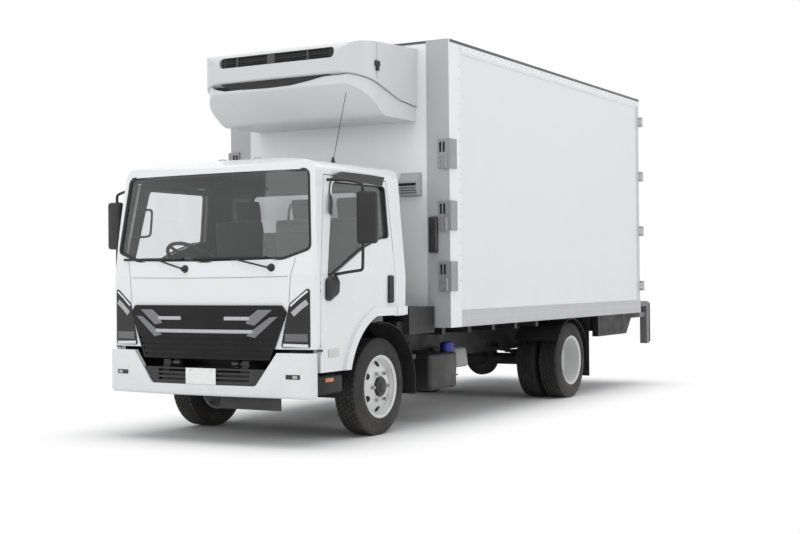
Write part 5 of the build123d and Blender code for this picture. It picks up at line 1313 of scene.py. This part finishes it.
# Corner fittings: cast gray clasps round the front posts with two upright slots, bolted through the post.
# A black rubber bar below the second one keeps the cab's corner off the box.
clasp_grey = finish(
    "clasp_grey", (0.34, 0.34, 0.345), (0.4, 0.6), dust=0.18, reach=2.4, grain=(140.0, 0.1), metal=0.4
)
bumper_rubber = finish(
    "bumper_rubber", (0.022, 0.022, 0.022), (0.55, 0.75), dust=0.2, reach=1.8, grain=(200.0, 0.15)
)
dress(clasp_grey, "corner_fittings")
bar = eased_block((BOX_NOSE + 0.006, 0.986, 1.516), (BOX_NOSE + 0.047, 1.074, 1.839), 0.016)
piece("rubber_bar", *bar, bumper_rubber, "chassis", "buffer_rubber", smooth=True)
# The slots are painted shade: thin dark blocks on each clasp where the shade inside the slots falls.
shade_slots, bolts = [], []
for side in (-1, 1):
    for z in (2.388, 1.845, 1.312):
        for near in (1.096, 1.130):
            low, high = (BOX_NOSE + 0.012, near, z + 0.015), (BOX_NOSE + 0.0155, near + 0.022, z + 0.105)
            shade_slots.append(sided_block(side, low, high, 0.001))
        bolts += [(BOX_NOSE + 0.0275, side * 1.100, z + drop) for drop in (-0.105, -0.060, -0.020)]
piece("clasp_slot_shade", *gathered(shade_slots), hole_shade, "chassis", "dark_plastic")
fastener_row("clasp_bolts", [("+X", bolts)], 6, 0.010, 0.009, 0.006, zinc_nut, "chassis", "zinc_steel")

# Drain vent: a folded gray hood on the front wall, with painted shade in the slit under its brow.
# It is pressed sheet on a flat flange.
vent_grey = finish("vent_grey", (0.46, 0.46, 0.465), (0.35, 0.55), dust=0.12, reach=2.4, grain=(80.0, 0.03))
dress(vent_grey, "front_vent")
slit = eased_block((BOX_NOSE + 0.060, 0.712, 2.120), (BOX_NOSE + 0.0815, 0.888, 2.140), 0.002)
piece("vent_slit_shade", *slit, hole_shade, "chassis", "dark_plastic")
flange = eased_block((BOX_NOSE - 0.001, 0.690, 2.022), (BOX_NOSE + 0.004, 0.910, 2.236), 0.0015)
piece("vent_flange", *flange, vent_grey, "chassis", "gray_trim")

# Refrigeration unit: a rounded upper housing over a gray lower cover, with a black mouth between them.
# A slot with louvres and dividers crosses the housing, which has a seam and a rubber latch on each side.
# The upper housing is white, but it is painted darker than the gray lower cover: painted shade over the whole
# housing.
unit_shell_painted_shade = finish("unit_shell_painted_shade", (0.64, 0.645, 0.65), (0.28, 0.42), dust=0.08, reach=4.0, coat=0.2)
unit_cover = finish("unit_cover", (0.70, 0.705, 0.71), (0.32, 0.48), reach=4.0)
unit_black = finish("unit_black", (0.014, 0.014, 0.015), (0.45, 0.65), reach=4.0, grain=(500.0, 0.08))
dress(unit_shell_painted_shade, "reefer_upper_shell")
dress(unit_cover, "reefer_lower_cover")
dress(unit_black, "reefer_grilles")
unit_skin = skin("reefer_upper_shell")
seams, latches = [], []
for side in (-1, 1):
    run = spaced([(AXLE - 0.12, 2.985), (AXLE - 0.12, 3.280)], 0.08)
    seams.append(ribbon(on_side(unit_skin, run, side), GROOVE))
    latches.append(sided_block(side, (AXLE - 0.155, 0.864, 3.085), (AXLE - 0.085, 0.886, 3.135), 0.008))
    latches.append(sided_block(side, (AXLE - 0.140, 0.864, 3.050), (AXLE - 0.100, 0.886, 3.090), 0.006))
piece("unit_seams", *gathered(seams), joint_and_crease_shade, "chassis", "gray_trim")
piece("unit_latches", *gathered(latches), bumper_rubber, "chassis", "buffer_rubber", smooth=True)
louvres = []
for row in range(6):
    z = 3.163 + 0.0148 * row
    louvres.append(eased_block((AXLE + 0.076, -0.575, z), (AXLE + 0.104, 0.575, z + 0.006), 0.0018))
piece("unit_louvres", *gathered(louvres), unit_black, "chassis", "dark_plastic")
divider_grey = finish("divider_grey", (0.07, 0.07, 0.072), (0.35, 0.5), reach=4.0, grain=(400.0, 0.05))
dividers = []
for y, half in ((-0.42, 0.010), (-0.06, 0.040), (0.32, 0.010)):
    dividers.append(eased_block((AXLE + 0.086, y - half, 3.158), (AXLE + 0.108, y + half, 3.244), 0.003))
piece("slot_dividers", *gathered(dividers), divider_grey, "chassis", "dark_plastic")
MOUTH_LINE = [
    (-0.60, 3.016), (-0.55, 2.990), (-0.48, 2.970), (-0.36, 2.957), (-0.10, 2.952), (0.14, 2.957),
    (0.355, 2.985), (0.46, 3.004), (0.55, 3.020),
]
BROW_UP, near, far = 3.0235, AXLE + 0.1005, AXLE + 0.1045
mouth = [[(far, y, BROW_UP), (far, y, z), (near, y, z), (near, y, BROW_UP)] for y, z in MOUTH_LINE]
piece("unit_mouth", *stacked(*mouth), unit_black, "chassis", "dark_plastic")

# Rear doors: two insulated leaves with rubber lip seals, zinc hinge straps and one lock rod on each leaf.
# Seals run round each leaf, guides and straps are bolted through, and red marker lamps sit above.
zinc_gear = finish(
    "zinc_gear", (0.52, 0.52, 0.51), (0.25, 0.45), dust=0.2, reach=2.4, grain=(70.0, 0.05), metal=0.85
)
dress(zinc_gear, "door_gear_left", "door_gear_right")
for name, side in SIDES:
    body, lips = "rear_door_" + name, []
    near, far = 0.0065, 1.0945
    for y0, y1, z0, z1 in (
        (near, near + 0.022, 1.005, 3.292),
        (far - 0.022, far, 1.005, 3.292),
        (near + 0.022, far - 0.022, 1.005, 1.027),
        (near + 0.022, far - 0.022, 3.270, 3.292),
    ):
        lips.append(sided_block(side, (BOX_BACK - 0.006, y0, z0), (BOX_BACK + 0.002, y1, z1), 0.0025))
    piece("door_lips_" + name, *gathered(lips), bumper_rubber, body, "buffer_rubber", smooth=True)
    points = []
    for z in (1.18, 1.83, 2.48, 3.13):
        points += [
            (BOX_BACK - 0.0135, side * y, z + dz) for y in (0.80, 0.90, 1.00) for dz in (-0.022, 0.022)
        ]
    for z in (1.061, 1.5, 2.4, 3.236):
        points += [(BOX_BACK - 0.0415, side * (0.23 + dy), z) for dy in (-0.022, 0.022)]
    bolts = [("-X", points)]
    fastener_row("door_bolts_" + name, bolts, 6, 0.009, 0.008, 0.005, zinc_nut, body, "zinc_steel")
head_red = finish("marker_red", (0.42, 0.02, 0.02), (0.08, 0.2), reach=4.0, coat=0.9)
markers = []
for y in (-1.05, -0.16, 0.0, 0.16, 1.05):
    low, high = (BOX_BACK - 0.022, y - 0.05, 3.330), (BOX_BACK + 0.004, y + 0.05, 3.362)
    markers.append(eased_block(low, high, 0.008))
piece("roof_marker_lamps", *gathered(markers), head_red, "chassis", "lamp_red", smooth=True)

# Rear step: gray steel posts, braces and plank with grip studs, and ribbed rubber dock buffers on the posts.
# Studs are pressed up in the plank's top in staggered rows.
STEEL = {"colour": (0.20, 0.20, 0.205), "gloss": (0.4, 0.6), "reach": 1.2, "metal": 0.3}
STEEL["grain"] = (120.0, 0.08)
step_grey = finish("step_grey", dust=0.25, **STEEL)
rear_paint = finish("rear_paint", dust=0.07, **STEEL)
toned(rear_paint, (0.012, 0.012, 0.013), "Object", (("X", -3.335, -3.325),))
dress(rear_paint, "rear_step")
dress(bumper_rubber, "dock_buffers")
studs = []
for row in range(6):
    shift = 0.03 if row % 2 else 0.0
    x = AXLE - 6.04 + 0.062 * row
    studs += [(x, -1.11 + shift + 0.06 * i, 0.9855) for i in range(37)]
fastener_row("step_studs", [("+Z", studs)], 8, 0.012, 0.007, 0.004, step_grey, "chassis", "gray_trim")
ribs, caps = [], []
for side in (-1, 1):
    for i in range(7):
        z = 0.53 + 0.062 * i
        ribs.append(sided_block(side, (AXLE - 6.1085, 1.072, z), (AXLE - 6.098, 1.143, z + 0.034), 0.004))
    caps.append(sided_block(side, (AXLE - 6.067, 1.063, 0.982), (AXLE - 5.978, 1.152, 0.992), 0.003))
piece("buffer_ribs", *gathered(ribs), bumper_rubber, "chassis", "buffer_rubber", smooth=True)
piece("post_caps", *gathered(caps), edge_metal, "chassis", "gray_trim")

# Small fittings on the frame: tail lamps, side tanks with caps and straps, and a coolant reservoir.
# Tanks and caps are moulded; tail lamps are red lenses with an amber chamber, and front lamps are clear.
lens_red = finish("lens_red", (0.40, 0.015, 0.015), (0.06, 0.18), dust=0.2, reach=0.9, coat=1.0)
toned(lens_red, (0.5, 0.51, 0.52), "Object", (("X", 0.0, 0.1),))
dress(lens_red, "chassis_lamps")
chambers = []
for side in (-1, 1):
    chambers.append(sided_block(side, (AXLE - 5.606, 0.575, 0.66), (AXLE - 5.596, 0.66, 0.74), 0.004))
piece("turn_chambers", *gathered(chambers), amber, "chassis", "lamp_red", smooth=True)
tank_black = finish(
    "tank_black", (0.012, 0.012, 0.013), (0.35, 0.55), dust=0.14, reach=0.9, grain=(150.0, 0.04)
)
cap_blue = finish("cap_blue", (0.02, 0.03, 0.30), (0.3, 0.5), dust=0.08, reach=0.9, grain=(300.0, 0.05))
near_tank = eased_block((AXLE - 1.42, 0.444, 0.290), (AXLE - 0.90, 0.930, 0.622), 0.035)
far_tank = eased_block((AXLE - 1.85, -0.930, 0.410), (AXLE - 1.10, -0.444, 0.740), 0.065)
both_tanks = gathered([near_tank, far_tank])
tanks = piece("side_tanks_moulded", *both_tanks, tank_black, "chassis", "dark_plastic", smooth=True)
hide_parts("side_tanks")
cap = [(0.0, 0.042), (0.046, 0.042), (0.058, 0.034), (0.062, 0.020), (0.062, -0.046), (0.0, -0.046)]
filler = lathe(cap, (AXLE - 1.345, 0.860, 0.668), 36, "Z")
piece("urea_cap", *filler, cap_blue, "chassis", "dark_plastic", smooth=True)
reservoir_white = finish(
    "reservoir_white", (0.36, 0.36, 0.36), (0.3, 0.5), dust=0.2, reach=0.9, grain=(200.0, 0.03)
)
bottle = eased_block((AXLE - 2.03, 0.444, 0.440), (AXLE - 1.77, 0.745, 0.630), 0.03, (0.1, 0.15))
piece("coolant_reservoir", *bottle, reservoir_white, "chassis", "gray_trim", smooth=True)
fuel = [(0.0, 0.026), (0.036, 0.026), (0.046, 0.016), (0.046, -0.030), (0.0, -0.030)]
filler = lathe(fuel, (AXLE - 1.25, -0.80, 0.752), 32, "Z")
piece("fuel_cap", *filler, moulded_black, "chassis", "dark_plastic", smooth=True)
straps = []
for x in (-1.25, -1.70):
    straps.append(eased_block((AXLE + x - 0.025, -0.9345, 0.47), (AXLE + x + 0.025, -0.9280, 0.68), 0.0015))
piece("tank_straps", *gathered(straps), aluminised, "chassis", "zinc_steel")

# Size of the finished model, in metres
low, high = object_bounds()
